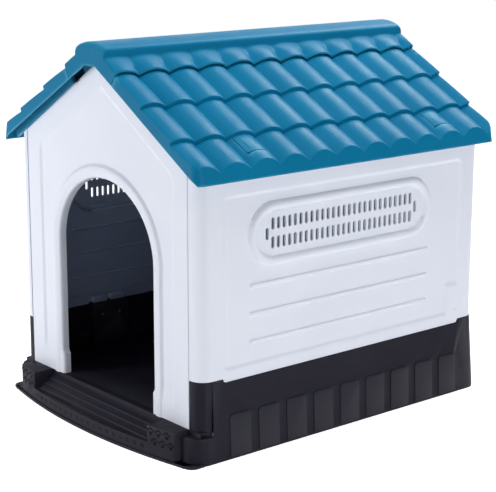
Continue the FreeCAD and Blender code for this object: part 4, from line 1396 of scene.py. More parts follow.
@dataclass
class WallSheet:
    """A moulded wall face, laid out flat and cut to an outline with holes."""

    outline: np.ndarray
    holes: List[np.ndarray]
    across: np.ndarray
    up: np.ndarray
    clearance: float = 1.6
    weld: float = 1e-5

    def triangles(self) -> Tuple[np.ndarray, List[Tuple[int, ...]]]:
        """Fills the outline with points and triangles.

        Returns:
            The points on the flat and the triangles between them.
        """
        grid = np.stack(np.meshgrid(self.across, self.up), axis=-1).reshape(-1, 2)
        keep = inside_path(self.outline, grid[:, 0], grid[:, 1])
        keep &= far_from_path(self.outline, grid, self.clearance)
        for hole in self.holes:
            low, high = hole.min(0) - self.clearance, hole.max(0) + self.clearance
            near = np.all((grid > low) & (grid < high), axis=1)
            keep[near] &= ~inside_path(hole, grid[near, 0], grid[near, 1])
            keep[near] &= far_from_path(hole, grid[near], self.clearance)
        loops = [self.outline] + self.holes
        places = np.concatenate(loops + [grid[keep]])
        edges = []
        start = 0
        for loop in loops:
            edges += [(start + index, start + (index + 1) % len(loop)) for index in range(len(loop))]
            start += len(loop)
        spots = [Vector(place) for place in places.tolist()]
        found, _, faces, *_ = delaunay_2d_cdt(spots, edges, [], 0, self.weld)
        flat = np.array([tuple(place) for place in found])
        mids = np.array([flat[list(face)].mean(0) for face in faces])
        good = inside_path(self.outline, mids[:, 0], mids[:, 1])
        for hole in self.holes:
            near = np.all((mids > hole.min(0)) & (mids < hole.max(0)), axis=1)
            good[near] &= ~inside_path(hole, mids[near, 0], mids[near, 1])
        return flat, [tuple(face) for face, stays in zip(faces, good) if stays]


@dataclass(frozen=True)
class RibSet:
    """Level ribs pressed into a wall, in millimetres."""

    length: float
    heights: Tuple[float, ...] = (232.0, 290.0, 348.0)
    half: float = 5.0
    flank: float = 2.4
    proud: float = 4.2

    def raised(self, height: Numbers, along: Numbers, z: Numbers) -> Numbers:
        """Adds the ribs to the relief of a wall.

        Args:
            height: Relief without the ribs.
            along: Places along the wall, from the middle of the ribs.
            z: Heights of the places.

        Returns:
            Relief with the ribs.
        """
        run = self.length / 2 - self.half
        for rib_z in self.heights:
            off = np.hypot(np.maximum(np.abs(along) - run, 0.0), z - rib_z)
            height = height + self.proud * (1 - smooth_step(self.half - self.flank, self.half, off))
        return height

    def lines(self) -> List[float]:
        """Heights of the mesh lines that the ribs need."""
        return beside(self.heights, RIB_LINES)


@dataclass(frozen=True)
class PlugFingers:
    """Pair of fingers with which a wall plugs into one socket of the tray, in millimetres."""

    offset: float = 24.0
    half_width: float = 19.0
    root: float = -1.5
    blade: float = 8.0
    depth: float = 13.0
    bridge: float = 12.0
    drop: float = 57.0
    lift: float = 5.0

    def boxes(self, middle: float) -> List[Tuple[Place2D, Place2D, Place2D]]:
        """Boxes that make up both fingers.

        Args:
            middle: Middle of the socket along the wall.

        Returns:
            For each box, its ends along the wall, its depths behind the wall and its heights.
        """
        top = HOUSE.sill + self.lift
        boxes = []
        for side in (-1, 1):
            place = middle + side * self.offset
            along = (place - self.half_width, place + self.half_width)
            boxes.append((along, (self.root, self.depth), (top, top + self.bridge)))
            boxes.append((along, (self.blade, self.depth), (top - self.drop, top)))
        return boxes


@dataclass
class SideWall:
    """Side panel: it wraps both corners and has a slotted vent and three ribs."""

    hand: Hand
    finishes: Finishes
    trees: Trees
    seam_lines: Tuple[float, ...] = (0.0, 6.0, 12.0)
    seam_roll: float = 2.0
    seam_points: int = 5
    corner_points: int = 17
    field_depth: float = 4.0
    field_soft: float = 3.5
    field_corner: float = 10.0
    border: float = 62.0
    field_bottom: float = 188.0
    field_top: float = 536.0
    vent_offset: float = 15.0
    vent_length: float = 513.0
    vent_height: float = 131.0
    vent_z: float = 449.0
    ring: float = 17.0
    ring_over: float = 1.0
    ring_proud: float = 8.0
    ring_lines: Tuple[float, ...] = (-1.0, 1.5, 5.0, 8.5, 12.0, 15.5, 18.0)
    plate_proud: float = 1.0
    plate_soft: float = 3.0
    slot_pitch: float = 14.95
    slot_size: Place2D = (6.0, 23.0)
    slot_gap: float = 39.0
    slot_count: int = 27
    slot_turn: int = 36
    slot_rim: Outline = ((1.3, 0.0), (0.7, 0.45), (0.0, 0.2), (0.0, -0.8), (1.3, -0.8), (1.3, 0.0))
    half_pitches: Tuple[int, int] = (-34, 36)
    ribs: RibSet = RibSet(length=508.0)
    boss: Place2D = (36.0, 66.0)
    boss_corner: float = 5.0
    boss_soft: float = 2.0
    boss_proud: float = 3.6
    # The tray's ear leaves a step in the lower edge: run from the ear's end, height over the sill.
    ear_crest: Outline = ((-4.0, 8.3), (1.0, 8.0), (2.0, 4.0))
    ear_heel: Outline = ((2.5, 3.0), (3.0, 0.3), (8.0, 0.3))
    ear_flat: float = 5.0
    ear_turns: Tuple[int, int] = (4, 3)
    rail: Outline = ((313.0, 576.5), (325.0, 576.5), (325.0, 580.5), (316.2, 580.5))
    socket_ys: Place2D = (-149.0, 200.0)
    fingers: PlugFingers = PlugFingers()
    finger_edge: float = 0.8
    step: float = 4.8
    rim_step: float = 6.0
    top_step: float = 5.0
    across_near: float = 1.6

    @property
    def vent_y(self) -> float:
        """Middle of the vent along the house."""
        return HOUSE.wall_mid_y - self.vent_offset

    def plan(self) -> np.ndarray:
        """Plan of the wall from the front seam round to the rear seam.

        Returns:
            Array of arc length, X, Y and the outward direction in plan.
        """
        seam = HOUSE.front_half_width + HOUSE.seam_gap
        roll, radius = self.seam_roll, HOUSE.corner_radius
        x1, y0, y1 = HOUSE.wall_half_width, HOUSE.front_y, HOUSE.rear_y
        rows = [(seam, y0 + HOUSE.panel_depth - depth, -1.0, 0.0) for depth in self.seam_lines]
        for x, bow, angles in ((seam + roll, roll, np.linspace(180, 270, self.seam_points)),
                               (x1 - radius, radius, np.linspace(-90, 0, self.corner_points))):
            for turn in np.radians(angles):
                rows.append((x + bow * math.cos(turn), y0 + bow + bow * math.sin(turn),
                             math.cos(turn), math.sin(turn)))
        half = np.array(rows)
        other = half[::-1] * (1, -1, 1, -1) + (0, y0 + y1, 0, 0)
        whole = np.concatenate([half, other])
        lengths = np.concatenate([[0.0], np.cumsum(np.hypot(*np.diff(whole[:, :2], axis=0).T))])
        return np.column_stack([lengths, whole])

    def slots(self) -> Path2D:
        """Middle of each vent slot.

        Returns:
            Y and Z of each slot.
        """
        half = (self.slot_count - 1) / 2
        places = [(self.vent_y + (index - half) * self.slot_pitch, self.vent_z + side * self.slot_gap / 2)
                  for side in (-1, 1) for index in range(self.slot_count)]
        return places + [(self.vent_y + side * (half + 1) * self.slot_pitch, self.vent_z) for side in (-1, 1)]

    def slot_path(self, y: float, z: float) -> np.ndarray:
        """Outline of one slot with round ends.

        Args:
            y: Middle of the slot along the house.
            z: Middle of the slot in height.

        Returns:
            Corners of the outline in Y and Z.
        """
        radius = self.slot_size[0] / 2
        run = self.slot_size[1] / 2 - radius
        points = []
        for centre, start in ((z + run, 0), (z - run, 180)):
            for angle in range(start, start + 181, self.slot_turn):
                turn = math.radians(angle)
                points.append((y + radius * math.cos(turn), centre + radius * math.sin(turn)))
        return np.array(points)

    def relief(self, y: np.ndarray, z: np.ndarray) -> np.ndarray:
        """Height of the outer face over the plain wall.

        Args:
            y: Places along the house.
            z: Heights of the places.

        Returns:
            Height of the relief at each place.
        """
        half_y = (HOUSE.rear_y - HOUSE.front_y) / 2 - self.border
        mid_z, half_z = (self.field_bottom + self.field_top) / 2, (self.field_top - self.field_bottom) / 2
        edge = block_gap(y - HOUSE.wall_mid_y, z - mid_z, half_y, half_z, self.field_corner)
        height = -self.field_depth * smooth_step(-self.field_soft, self.field_soft, -edge)
        height = self.ribs.raised(height, y - self.vent_y, z)
        gap = stadium_gap(y - self.vent_y, z - self.vent_z, self.vent_length, self.vent_height)
        height = height + bead(gap + self.ring / 2, self.ring / 2 + self.ring_over, self.ring_proud)
        height = height + self.plate_proud * smooth_step(-self.ring, -self.ring - self.plate_soft, gap)
        boss_y = HOUSE.rear_y - self.border - self.boss[0] / 2
        boss_z = self.field_bottom + self.boss[1] / 2
        boss = block_gap(y - boss_y, z - boss_z, self.boss[0] / 2, self.boss[1] / 2, self.boss_corner)
        return height + self.boss_proud * smooth_step(-self.boss_soft, self.boss_soft, -boss)

    @staticmethod
    def top(plan: np.ndarray, place: float) -> float:
        """Height of the sloping top at an arc length, less the seam."""
        x = float(np.interp(place, plan[:, 0], plan[:, 1]))
        return float(HOUSE.slope_height(x, -HOUSE.gable_drop)) - HOUSE.seam_gap

    def outline(self, plan: np.ndarray, shift: float) -> np.ndarray:
        """Outline of the wall laid out flat.

        Args:
            plan: Plan of the wall.
            shift: Arc length at which Y would be 0.

        Returns:
            Corners as arc length and height.
        """
        length = plan[-1, 0]
        ear = HOUSE.front_y + HOUSE.ear_run + shift
        far_ear = HOUSE.rear_y - HOUSE.ear_run + shift
        crest = [(ear + run, HOUSE.sill + rise) for run, rise in self.ear_crest]
        heel = [(ear + run, HOUSE.sill + rise) for run, rise in self.ear_heel]
        heel_run, foot = self.ear_heel[-1][0], heel[-1][1]
        low = [(place, crest[0][1]) for place in ticks(0.0, ear - self.ear_flat, self.rim_step)]
        low += bend(*crest, self.ear_turns[0]) + bend(*heel, self.ear_turns[1])
        low += [(place, foot) for place in ticks(ear + heel_run, far_ear - heel_run, self.rim_step)[1:-1]]
        low += [(length - place, z) for place, z in low[::-1] if place < ear + heel_run + 0.5]
        places = ticks(0.0, length, self.top_step, plan[:, 0])
        high = [(place, self.top(plan, place)) for place in places[::-1]]
        sides = [[(place, z) for z in ticks(HOUSE.post, self.top(plan, place), self.rim_step)[1:-1]]
                 for place in (length, 0.0)]
        return np.array(low + sides[0] + high + sides[1][::-1])

    def lines(self, plan: np.ndarray, shift: float) -> Tuple[np.ndarray, np.ndarray]:
        """Mesh lines of the wall, closer together where the relief needs it.

        Args:
            plan: Plan of the wall.
            shift: Arc length at which Y would be 0.

        Returns:
            Arc lengths of the upright lines and heights of the level ones.
        """
        edges = [y + shift for y in (HOUSE.front_y + self.border, HOUSE.rear_y - self.border)]
        must = list(plan[:, 0]) + beside(edges, EDGE_LINES)
        must += [self.vent_y + shift + index * self.slot_pitch / 2 for index in range(*self.half_pitches)]
        across = ticks(0.0, plan[-1, 0], self.step, must, near=self.across_near)
        fine = self.ribs.lines() + beside((self.field_bottom, self.field_top), EDGE_LINES)
        for side in (-1, 1):
            fine += [self.vent_z + side * (self.vent_height / 2 - inset) for inset in self.ring_lines]
        return across, ticks(HOUSE.sill, self.top(plan, 0.0), self.step, fine)

    def sheet(self) -> MeshDraft:
        """Lays the wall out flat, cuts it, and wraps it round the corners.

        Returns:
            The sheet with its relief.
        """
        plan = self.plan()
        straight = HOUSE.front_y + HOUSE.corner_radius
        shift = plan[np.argmin(np.abs(plan[:, 2] - straight)), 0] - straight
        holes = [self.slot_path(y, z) + (shift, 0.0) for y, z in self.slots()]
        across, up = self.lines(plan, shift)
        flat, faces = WallSheet(self.outline(plan, shift), holes, across, up).triangles()
        place, z = flat.T
        lift = self.relief(place - shift, z)
        x, y, way_x, way_y = (np.interp(place, plan[:, 0], plan[:, part]) for part in (1, 2, 3, 4))
        draft = MeshDraft()
        draft.add(np.column_stack([x + way_x * lift, y + way_y * lift, z]), faces)
        return draft

    def bezels(self) -> Piece:
        """Fine raised edges round the vent slots, repeated by rule.

        Returns:
            One object with all of them.
        """
        path = self.slot_path(0.0, 0.0)
        run = (self.slot_size[1] - self.slot_size[0]) / 2
        outward = (path - np.clip(path, [0, -run], [0, run])) / (self.slot_size[0] / 2)
        rings = np.array([[(height, *(place + way * grow)) for place, way in zip(path, outward)]
                          for grow, height in self.slot_rim])
        rings = np.concatenate([rings, rings[:, :1]], axis=1)
        face_x = HOUSE.wall_half_width - self.field_depth + self.plate_proud
        half = (self.slot_count - 1) / 2 * self.slot_pitch
        wide = half + self.slot_pitch
        row_step = (0.0, 0.0, self.slot_gap)
        long_rows = RowPlan(self.slot_count, (face_x, self.vent_y - half, self.vent_z - self.slot_gap / 2),
                            (0.0, self.slot_pitch, 0.0), 2, row_step)
        end_slots = RowPlan(2, (face_x, self.vent_y - wide, self.vent_z), (0.0, 2 * wide, 0.0), 1, row_step)
        pieces = []
        for plan in (long_rows, end_slots):
            draft = MeshDraft()
            draft.add_grid(rings, flip=True)
            unit = draft.to_object("slot_edge")
            merge_doubles(unit)
            pieces.append(self.trees.repeat(unit, plan, self.finishes.wall))
        return join_objects("slot_edges", pieces)

    def inside(self) -> Piece:
        """Catch rail and the fingers that plug into the tray.

        Returns:
            One object with all of them.
        """
        draft = MeshDraft()
        draft.add_prism(self.rail, HOUSE.front_y + self.border, HOUSE.rear_y - self.border)
        inner = HOUSE.wall_half_width - HOUSE.wall_skin
        for middle in self.socket_ys:
            for (y0, y1), (near, far), (z0, z1) in self.fingers.boxes(middle):
                draft.add_box((inner - far, y0, z0), (inner - near, y1, z1))
        return soften(draft.to_object("side_inside"), self.finger_edge)

    def build(self) -> Piece:
        """Builds the wall and mirrors it for the left side.

        Returns:
            The finished piece.
        """
        side = self.hand.name.lower()
        piece = self.sheet().to_object("side_sheet")
        merge_doubles(piece)
        thicken(piece, HOUSE.wall_skin)
        piece = join_objects("side_wall_" + side, [piece, self.bezels(), self.inside()])
        if self.hand is Hand.LEFT:
            piece.data.transform(Matrix.Scale(-1, 4, (1, 0, 0)))
            piece.data.flip_normals()
        mark_shaded_inside(piece, (-self.hand.value, 0.0, 0.0))
        return settle(piece, "house", ["side_panel_" + side], self.finishes.wall)


@dataclass
class GableWall:
    """Gable panel with a sunk field: the front one has the doorway, the rear one has ribs."""

    kind: GableKind
    finishes: Finishes
    foot_gap: float = 0.2
    border: float = 50.0
    field_depth: float = 4.0
    field_soft: float = 3.0
    field_corner: float = 10.0
    foot_fade: float = 24.0
    edge_roll: float = 2.5
    upright_points: int = 81
    slope_points: int = 61
    apex_points: int = 9
    door_half: float = 171.0
    door_spring: float = 375.0
    door_rise: float = 157.0
    door_rim: float = 29.0
    rim_proud: float = 3.2
    rim_start: Place2D = (0.6, 4.0)
    door_roll: float = 7.0
    jamb_foot: float = 6.0
    jamb_height: float = 45.0
    knee_corner: Place2D = (0.4, 3.0)
    knee_rise: float = 4.0
    knee_turns: int = 4
    knee_points: int = 9
    jamb_points: int = 41
    arch_points: int = 73
    ribs: RibSet = RibSet(length=380.0)
    boss_radius: float = 8.0
    boss_points: int = 24
    boss_root: float = 2.0
    fingers: PlugFingers = PlugFingers()
    step: float = 3.4
    foot_step: float = 6.0
    across_near: float = 1.5
    lines_top: float = 760.0

    @property
    def bottom(self) -> float:
        """Height of the panel's lower edge."""
        return (HOUSE.deck if self.kind is GableKind.FRONT else HOUSE.sill) + self.foot_gap

    def gable_path(self, inset: float) -> Path2D:
        """Outline from the lower right corner over the apex to the lower left one.

        Args:
            inset: How far the outline is moved in.

        Returns:
            Points in X and Z, as many for every inset.
        """
        half = HOUSE.front_half_width - HOUSE.seam_gap - inset
        apex = float(HOUSE.slope_height(0.0, -HOUSE.gable_drop - inset))
        radius = HOUSE.apex_radius - inset
        touch_x = radius * math.sin(HOUSE.pitch)
        touch_z = apex - touch_x * math.tan(HOUSE.pitch)
        shoulder = float(HOUSE.slope_height(half, -HOUSE.gable_drop - inset))
        upright = np.linspace(0, 1, self.upright_points)
        slope = np.linspace(0, 1, self.slope_points)[1:]
        right = [(half, self.bottom + (shoulder - self.bottom) * t) for t in upright]
        right += [(half + (touch_x - half) * t, shoulder + (touch_z - shoulder) * t) for t in slope]
        centre_z = touch_z - radius * math.cos(HOUSE.pitch)
        arc = [(radius * math.sin(turn), centre_z + radius * math.cos(turn))
               for turn in np.linspace(HOUSE.pitch, -HOUSE.pitch, self.apex_points)[1:-1]]
        return right + arc + [(-x, z) for x, z in right[::-1]]

    def door_path(self, grow: float) -> Path2D:
        """Doorway from its lower left corner over the arch to its lower right one.

        Args:
            grow: How far the outline is moved out.

        Returns:
            Points in X and Z, as many for every growth.
        """
        half = self.door_half + grow
        knee = HOUSE.deck + self.jamb_height
        knee_top = knee + self.jamb_foot + self.knee_rise
        corner = (-half + self.jamb_foot * self.knee_corner[0], knee + self.knee_corner[1])
        left = [(-half + self.jamb_foot, z) for z in np.linspace(self.bottom, knee, self.knee_points)]
        left += bend((-half + self.jamb_foot, knee), corner, (-half, knee_top), self.knee_turns)[1:]
        left += [(-half, z) for z in np.linspace(knee_top, self.door_spring, self.jamb_points)[1:]]
        arch = [(-half * math.cos(turn), self.door_spring + (self.door_rise + grow) * math.sin(turn))
                for turn in np.linspace(0, math.pi, self.arch_points)[1:-1]]
        return left + arch + [(-x, z) for x, z in left[::-1]]

    def relief(self, x: np.ndarray, z: np.ndarray) -> np.ndarray:
        """Height of the outer face over the plain panel.

        Args:
            x: Places across the panel.
            z: Heights of the places.

        Returns:
            Height of the relief at each place.
        """
        side = HOUSE.front_half_width - HOUSE.seam_gap - np.abs(x)
        slope = (HOUSE.slope_height(np.abs(x), -HOUSE.gable_drop) - z) * math.cos(HOUSE.pitch)
        low = z - self.bottom if self.kind is GableKind.FRONT else z - self.bottom + self.border / 2
        round_in = self.field_corner
        blend = np.clip(0.5 + 0.5 * (slope - side) / round_in, 0, 1)
        rounded = slope * (1 - blend) + side * blend - round_in * blend * (1 - blend)
        depth = np.where(np.abs(slope - side) < round_in, rounded, np.minimum(side, slope))
        share = smooth_step(self.border - self.field_soft, self.border + self.field_soft, depth)
        share = share * smooth_step(self.border - self.foot_fade, self.border + self.foot_fade, low)
        if self.kind is GableKind.REAR:
            return self.ribs.raised(-self.field_depth * share, x, z)
        arch = np.hypot(x / self.door_half, (z - self.door_spring) / self.door_rise) - 1
        around = np.where(z < self.door_spring, np.abs(x) - self.door_half,
                          arch * (self.door_half + self.door_rise) / 2)
        share = share * smooth_step(self.door_rim - self.field_soft, self.door_rim + self.field_soft, around)
        middle, half_rim = (self.door_roll + self.door_rim) / 2, (self.door_rim - self.door_roll) / 2
        rim = bead(around - middle, half_rim, self.rim_proud)
        rim = rim * smooth_step(*(self.door_roll + start for start in self.rim_start), around)
        return rim - self.field_depth * share

    def foot_line(self, start: float, end: float) -> Path2D:
        """Points of the lower edge between two X, without both ends."""
        return [(x, self.bottom) for x in ticks(start, end, self.foot_step)[1:-1]]

    def sheet(self) -> MeshDraft:
        """Fills the outline, presses the relief in and rolls the edges back.

        Returns:
            The sheet, for a panel that faces the front.
        """
        front = self.kind is GableKind.FRONT
        outline = self.gable_path(self.edge_roll)
        right, left = outline[0][0], outline[-1][0]
        if front:
            door = self.door_path(self.door_roll)
            outline += self.foot_line(left, door[0][0]) + door + self.foot_line(door[-1][0], right)
        else:
            outline += self.foot_line(left, right)
        half = HOUSE.front_half_width
        edges = (half - self.border, self.door_half + self.door_rim)
        fine_x = beside([side * edge for edge in edges for side in (-1, 1)], EDGE_LINES)
        fine_z = beside([self.bottom + self.border], EDGE_LINES) + self.ribs.lines()
        across = ticks(-half, half, self.step, fine_x, near=self.across_near)
        up = ticks(self.bottom, self.lines_top, self.step, fine_z)
        flat, faces = WallSheet(np.array(outline), [], across, up).triangles()
        lift = self.relief(flat[:, 0], flat[:, 1])
        draft = MeshDraft()
        draft.add(np.column_stack([flat[:, 0], HOUSE.front_y - lift, flat[:, 1]]), faces)
        self._sweep(draft, [(self.gable_path(grow), deep) for grow, deep in self._rolled(self.edge_roll)])
        if front:
            self._sweep(draft, [(self.door_path(grow), deep) for grow, deep in self._rolled(self.door_roll)])
        return draft

    @staticmethod
    def _rolled(radius: float) -> List[Place2D]:
        """Quarter round of a border and the straight part behind it.

        Args:
            radius: Radius of the quarter round.

        Returns:
            How far the outline is moved and how deep it lies, for each ring.
        """
        rings = [(radius * (1 - math.sin(turn)), radius * (1 - math.cos(turn)))
                 for turn in np.radians(QUARTER_TURNS)]
        return rings + [(0.0, HOUSE.panel_depth)]

    @staticmethod
    def _sweep(draft: MeshDraft, rings: Sequence[Tuple[Path2D, float]]) -> None:
        """Adds a rolled border through a set of outlines at different depths."""
        points = np.array([[(x, HOUSE.front_y + deep, z) for x, z in path] for path, deep in rings])
        draft.add_grid(points, flip=True)

    def inside(self) -> Piece:
        """Boss for the ridge screw, and the fingers of the rear panel.

        Returns:
            One object with all of them, for a panel that faces the front.
        """
        draft = MeshDraft()
        ring = circle_path(0.0, HOUSE.ridge_screw_z, self.boss_radius, self.boss_points)
        draft.add_prism(ring, HOUSE.front_y + self.boss_root, HOUSE.front_y + HOUSE.panel_depth)
        if self.kind is GableKind.REAR:
            inner = HOUSE.front_y + HOUSE.wall_skin
            for (x0, x1), (near, far), (z0, z1) in self.fingers.boxes(0.0):
                draft.add_box((x0, inner + near, z0), (x1, inner + far, z1))
        return draft.to_object("gable_inside")

    def build(self) -> Piece:
        """Builds the panel and turns the rear one round.

        Returns:
            The finished piece.
        """
        place = self.kind.name.lower()
        piece = self.sheet().to_object("gable_sheet")
        merge_doubles(piece)
        thicken(piece, HOUSE.wall_skin)
        piece = join_objects("gable_wall_" + place, [piece, self.inside()])
        if self.kind is GableKind.REAR:
            turn_round(piece, HOUSE.wall_mid_y)
        mark_shaded_inside(piece, (0.0, self.kind.value, 0.0))
        return settle(piece, "house", [place + "_panel"], self.finishes.wall)


@dataclass
class TrayBase:
    """Tray with its porch: the CAD tray with rounded edges, closed corners and paw prints."""

    finishes: Finishes
    trees: Trees
    edge: float = 1.4
    post_run: float = 30.0
    plug_reach: Place2D = (-4.0, 3.2)
    plug_run: float = 4.0
    plug_heights: Place2D = (-12.0, -1.0)
    porch_front: float = -436.0
    porch_radius: float = 1453.0
    block_inner: float = 213.0
    block_outer: float = 287.0
    print_pitch: float = 22.0
    print_drop: float = 20.0
    row_pitches: float = 2.5
    print_top: float = 54.0
    print_sink: float = 0.4
    block_print: Place2D = (1.3, 0.9)
    lip_print: Place2D = (0.7, 0.6)
    lip_print_z: float = 18.0
    lip_prints: int = 19
    pad: Tuple[float, ...] = (0.0, -2.2, 4.0, 3.2)
    toes: Outline = ((-5.6, 2.2), (-2.1, 5.4), (2.1, 5.4), (5.6, 2.2))
    toe_half: Place2D = (1.7, 2.1)
    dome_leans: Tuple[float, ...] = (0.0, 35.0, 65.0, 90.0)
    dome_points: int = 11

    def paw(self, size: float, proud: float) -> Piece:
        """One paw print as five low domes that stand out towards the front, in a near-black that paints the
        shade of a recessed print.

        Args:
            size: Size against a print 15 mm wide.
            proud: Height of the domes.

        Returns:
            The print, upright at the origin.
        """
        turns = np.linspace(0, 2 * math.pi, self.dome_points)
        draft = MeshDraft()
        for x, z, half_x, half_z in [self.pad] + [(*toe, *self.toe_half) for toe in self.toes]:
            rings = [[(size * (x + half_x * math.sin(lean) * math.cos(turn)),
                       self.print_sink - (proud + self.print_sink) * math.cos(lean),
                       size * (z + half_z * math.sin(lean) * math.sin(turn))) for turn in turns]
                     for lean in np.radians(self.dome_leans)]
            rings.append([(size * x, self.print_sink, size * z)] * len(turns))
            draft.add_grid(np.array(rings), flip=True)
        obj = draft.to_object("paw_print")
        merge_doubles(obj)
        return obj

    def prints(self) -> List[Piece]:
        """Rows of paw prints on both blocks and along the lip of the porch.

        Returns:
            The rows.
        """
        bow = 1.0 / (2 * self.porch_radius * MM)
        step = (self.print_pitch, 0.0, 0.0)
        margin = (self.block_outer - self.block_inner - self.row_pitches * self.print_pitch) / 2
        rows = []
        for start in (self.block_inner + margin, -self.block_outer + margin):
            plan = RowPlan(3, (start, self.porch_front, self.print_top), step, 2,
                           (self.print_pitch / 2, 0.0, -self.print_drop), bow)
            rows.append(self.trees.repeat(self.paw(*self.block_print), plan, self.finishes.print))
        start = -self.print_pitch * (self.lip_prints - 1) / 2
        plan = RowPlan(self.lip_prints, (start, self.porch_front, self.lip_print_z), step, bow=bow)
        rows.append(self.trees.repeat(self.paw(*self.lip_print), plan, self.finishes.print))
        return rows

    def plugs(self) -> Piece:
        """Small blocks that close the corners behind the front posts.

        Returns:
            One object with both of them.
        """
        draft = MeshDraft()
        back = HOUSE.front_y + self.post_run
        low, high = (HOUSE.deck + height for height in self.plug_heights)
        for side in Hand:
            x0, x1 = sorted(side.value * (HOUSE.wall_half_width + reach) for reach in self.plug_reach)
            draft.add_box((x0, back - self.plug_run, low), (x1, back, high))
        return draft.to_object("corner_plugs")

    def build(self) -> Piece:
        """Rounds the tray's edges, closes its corners and adds the paw prints.

        Returns:
            The finished tray.
        """
        rows = join_objects("porch_paw_prints", self.prints())
        settle(rows, "house", [], self.finishes.print)
        body = soften(cad_copy("base_tray", "tray_sheet"), self.edge)
        piece = join_objects("tray_body", [body, self.plugs()])
        return settle(piece, "house", ["base_tray"], self.finishes.base)


@dataclass
class RoofLatch:
    """Press tab in the lowest tile row."""

    node: str
    finishes: Finishes
    edge: float = 0.5

    def build(self) -> Piece:
        """Rounds the edges of the CAD latch."""
        piece = soften(cad_copy(self.node, self.node + "_tab"), self.edge)
        return settle(piece, self.node.replace("roof_", ""), [self.node], self.finishes.roof)


@dataclass(frozen=True)
class ScrewRow:
    """Screws of one kind: way and length of their shanks, and where they stand."""

    direction: Place3D
    reach: float
    plan: RowPlan


@dataclass
class ScrewSet:
    """All the screws of the house, in rows of pan heads."""

    finishes: Finishes
    trees: Trees
    head: float = 3.6
    head_height: float = 2.4
    head_curve: Outline = ((0.0, 1.0), (0.55, 0.95), (0.85, 0.7), (1.0, 0.25), (1.0, 0.0))
    shank: float = 1.75
    tip: float = 2.0
    turn_points: int = 17
    gable_inset: float = 13.0
    corner_reach: float = 11.0
    corner_seat: float = 4.0
    corner_z: float = 250.0
    corner_step: float = 150.0
    socket_reach: float = 9.0
    socket_start: Place3D = (304.1, -173.0, 137.0)
    socket_step: float = 349.0
    rear_socket_y: float = 400.1
    finger_step: float = 48.0
    foot_reach: float = 10.5
    foot_x: float = 235.0
    foot_z: float = 63.0
    ridge_reach: float = 18.0
    ridge_inset: float = 26.0

    def unit(self, direction: Place3D, reach: float) -> Piece:
        """One screw whose head stands on the origin.

        Args:
            direction: Way that the shank points.
            reach: Length of the shank.

        Returns:
            The screw.
        """
        profile = [(self.head * wide, -self.head_height * high) for wide, high in self.head_curve]
        profile += [(self.shank, 0.0), (self.shank, reach - self.tip), (0.0, reach)]
        turns = np.linspace(0, 2 * math.pi, self.turn_points)
        points = np.array([[(r * math.cos(t), r * math.sin(t), h) for t in turns] for r, h in profile])
        draft = MeshDraft()
        draft.add_grid(points, flip=True)
        obj = draft.to_object("screw")
        merge_doubles(obj)
        with open_mesh(obj.data) as work:
            bmesh.ops.recalc_face_normals(work, faces=work.faces)
        obj.data.transform(Vector(direction).to_track_quat("Z", "Y").to_matrix().to_4x4())
        return obj

    def rows(self) -> List[ScrewRow]:
        """All rows of screws: wall corners, finger sockets, feet of the front panel and ridge.

        Returns:
            The rows.
        """
        seat_x = HOUSE.front_half_width - HOUSE.seam_gap - self.corner_seat
        socket_x, socket_y, socket_z = self.socket_start
        rows = []
        for side in (-1, 1):
            for outer, inward in HOUSE.gables:
                start = (side * seat_x, outer + inward * self.gable_inset, self.corner_z)
                plan = RowPlan(3, start, (0.0, 0.0, self.corner_step))
                rows.append(ScrewRow((side, 0, 0), self.corner_reach, plan))
            plan = RowPlan(2, (side * socket_x, socket_y, socket_z), (0.0, self.finger_step, 0.0),
                           2, (0.0, self.socket_step, 0.0))
            rows.append(ScrewRow((side, 0, 0), self.socket_reach, plan))
        start = (-self.finger_step / 2, self.rear_socket_y, socket_z)
        plan = RowPlan(2, start, (self.finger_step, 0.0, 0.0))
        rows.append(ScrewRow((0, 1, 0), self.socket_reach, plan))
        start = (-self.foot_x, HOUSE.front_y + self.gable_inset, self.foot_z)
        plan = RowPlan(2, start, (2 * self.foot_x, 0.0, 0.0))
        rows.append(ScrewRow((0, 0, 1), self.foot_reach, plan))
        for outer, inward in HOUSE.gables:
            plan = RowPlan(1, (0.0, outer + inward * self.ridge_inset, HOUSE.ridge_screw_z))
            rows.append(ScrewRow((0, -inward, 0), self.ridge_reach, plan))
        return rows

    def build(self) -> Piece:
        """Places every row of screws by rule.

        Returns:
            One piece with all the screws.
        """
        pieces = [self.trees.repeat(self.unit(row.direction, row.reach), row.plan, self.finishes.steel)
                  for row in self.rows()]
        nodes = [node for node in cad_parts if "screw" in node]
        return settle(join_objects("house_screws", pieces), "house", nodes, self.finishes.steel)


@dataclass(frozen=True)
class StudioLamp:
    """Soft square lamp that points at the house, in metres and watts."""

    name: str
    place: Place3D
    size: float
    watts: float
    mirrored: bool = True
    aim: Place3D = (0.0, 0.0, 0.4)

    def hang(self) -> None:
        """Makes the lamp and points it at the house."""
        data = bpy.data.lights.new(self.name, "AREA")
        data.shape = "SQUARE"
        data.size = self.size
        data.energy = self.watts
        obj = new_object(self.name, data)
        obj.location = self.place
        obj.visible_glossy = self.mirrored
        obj.rotation_euler = (Vector(self.aim) - Vector(self.place)).to_track_quat("-Z", "Y").to_euler()


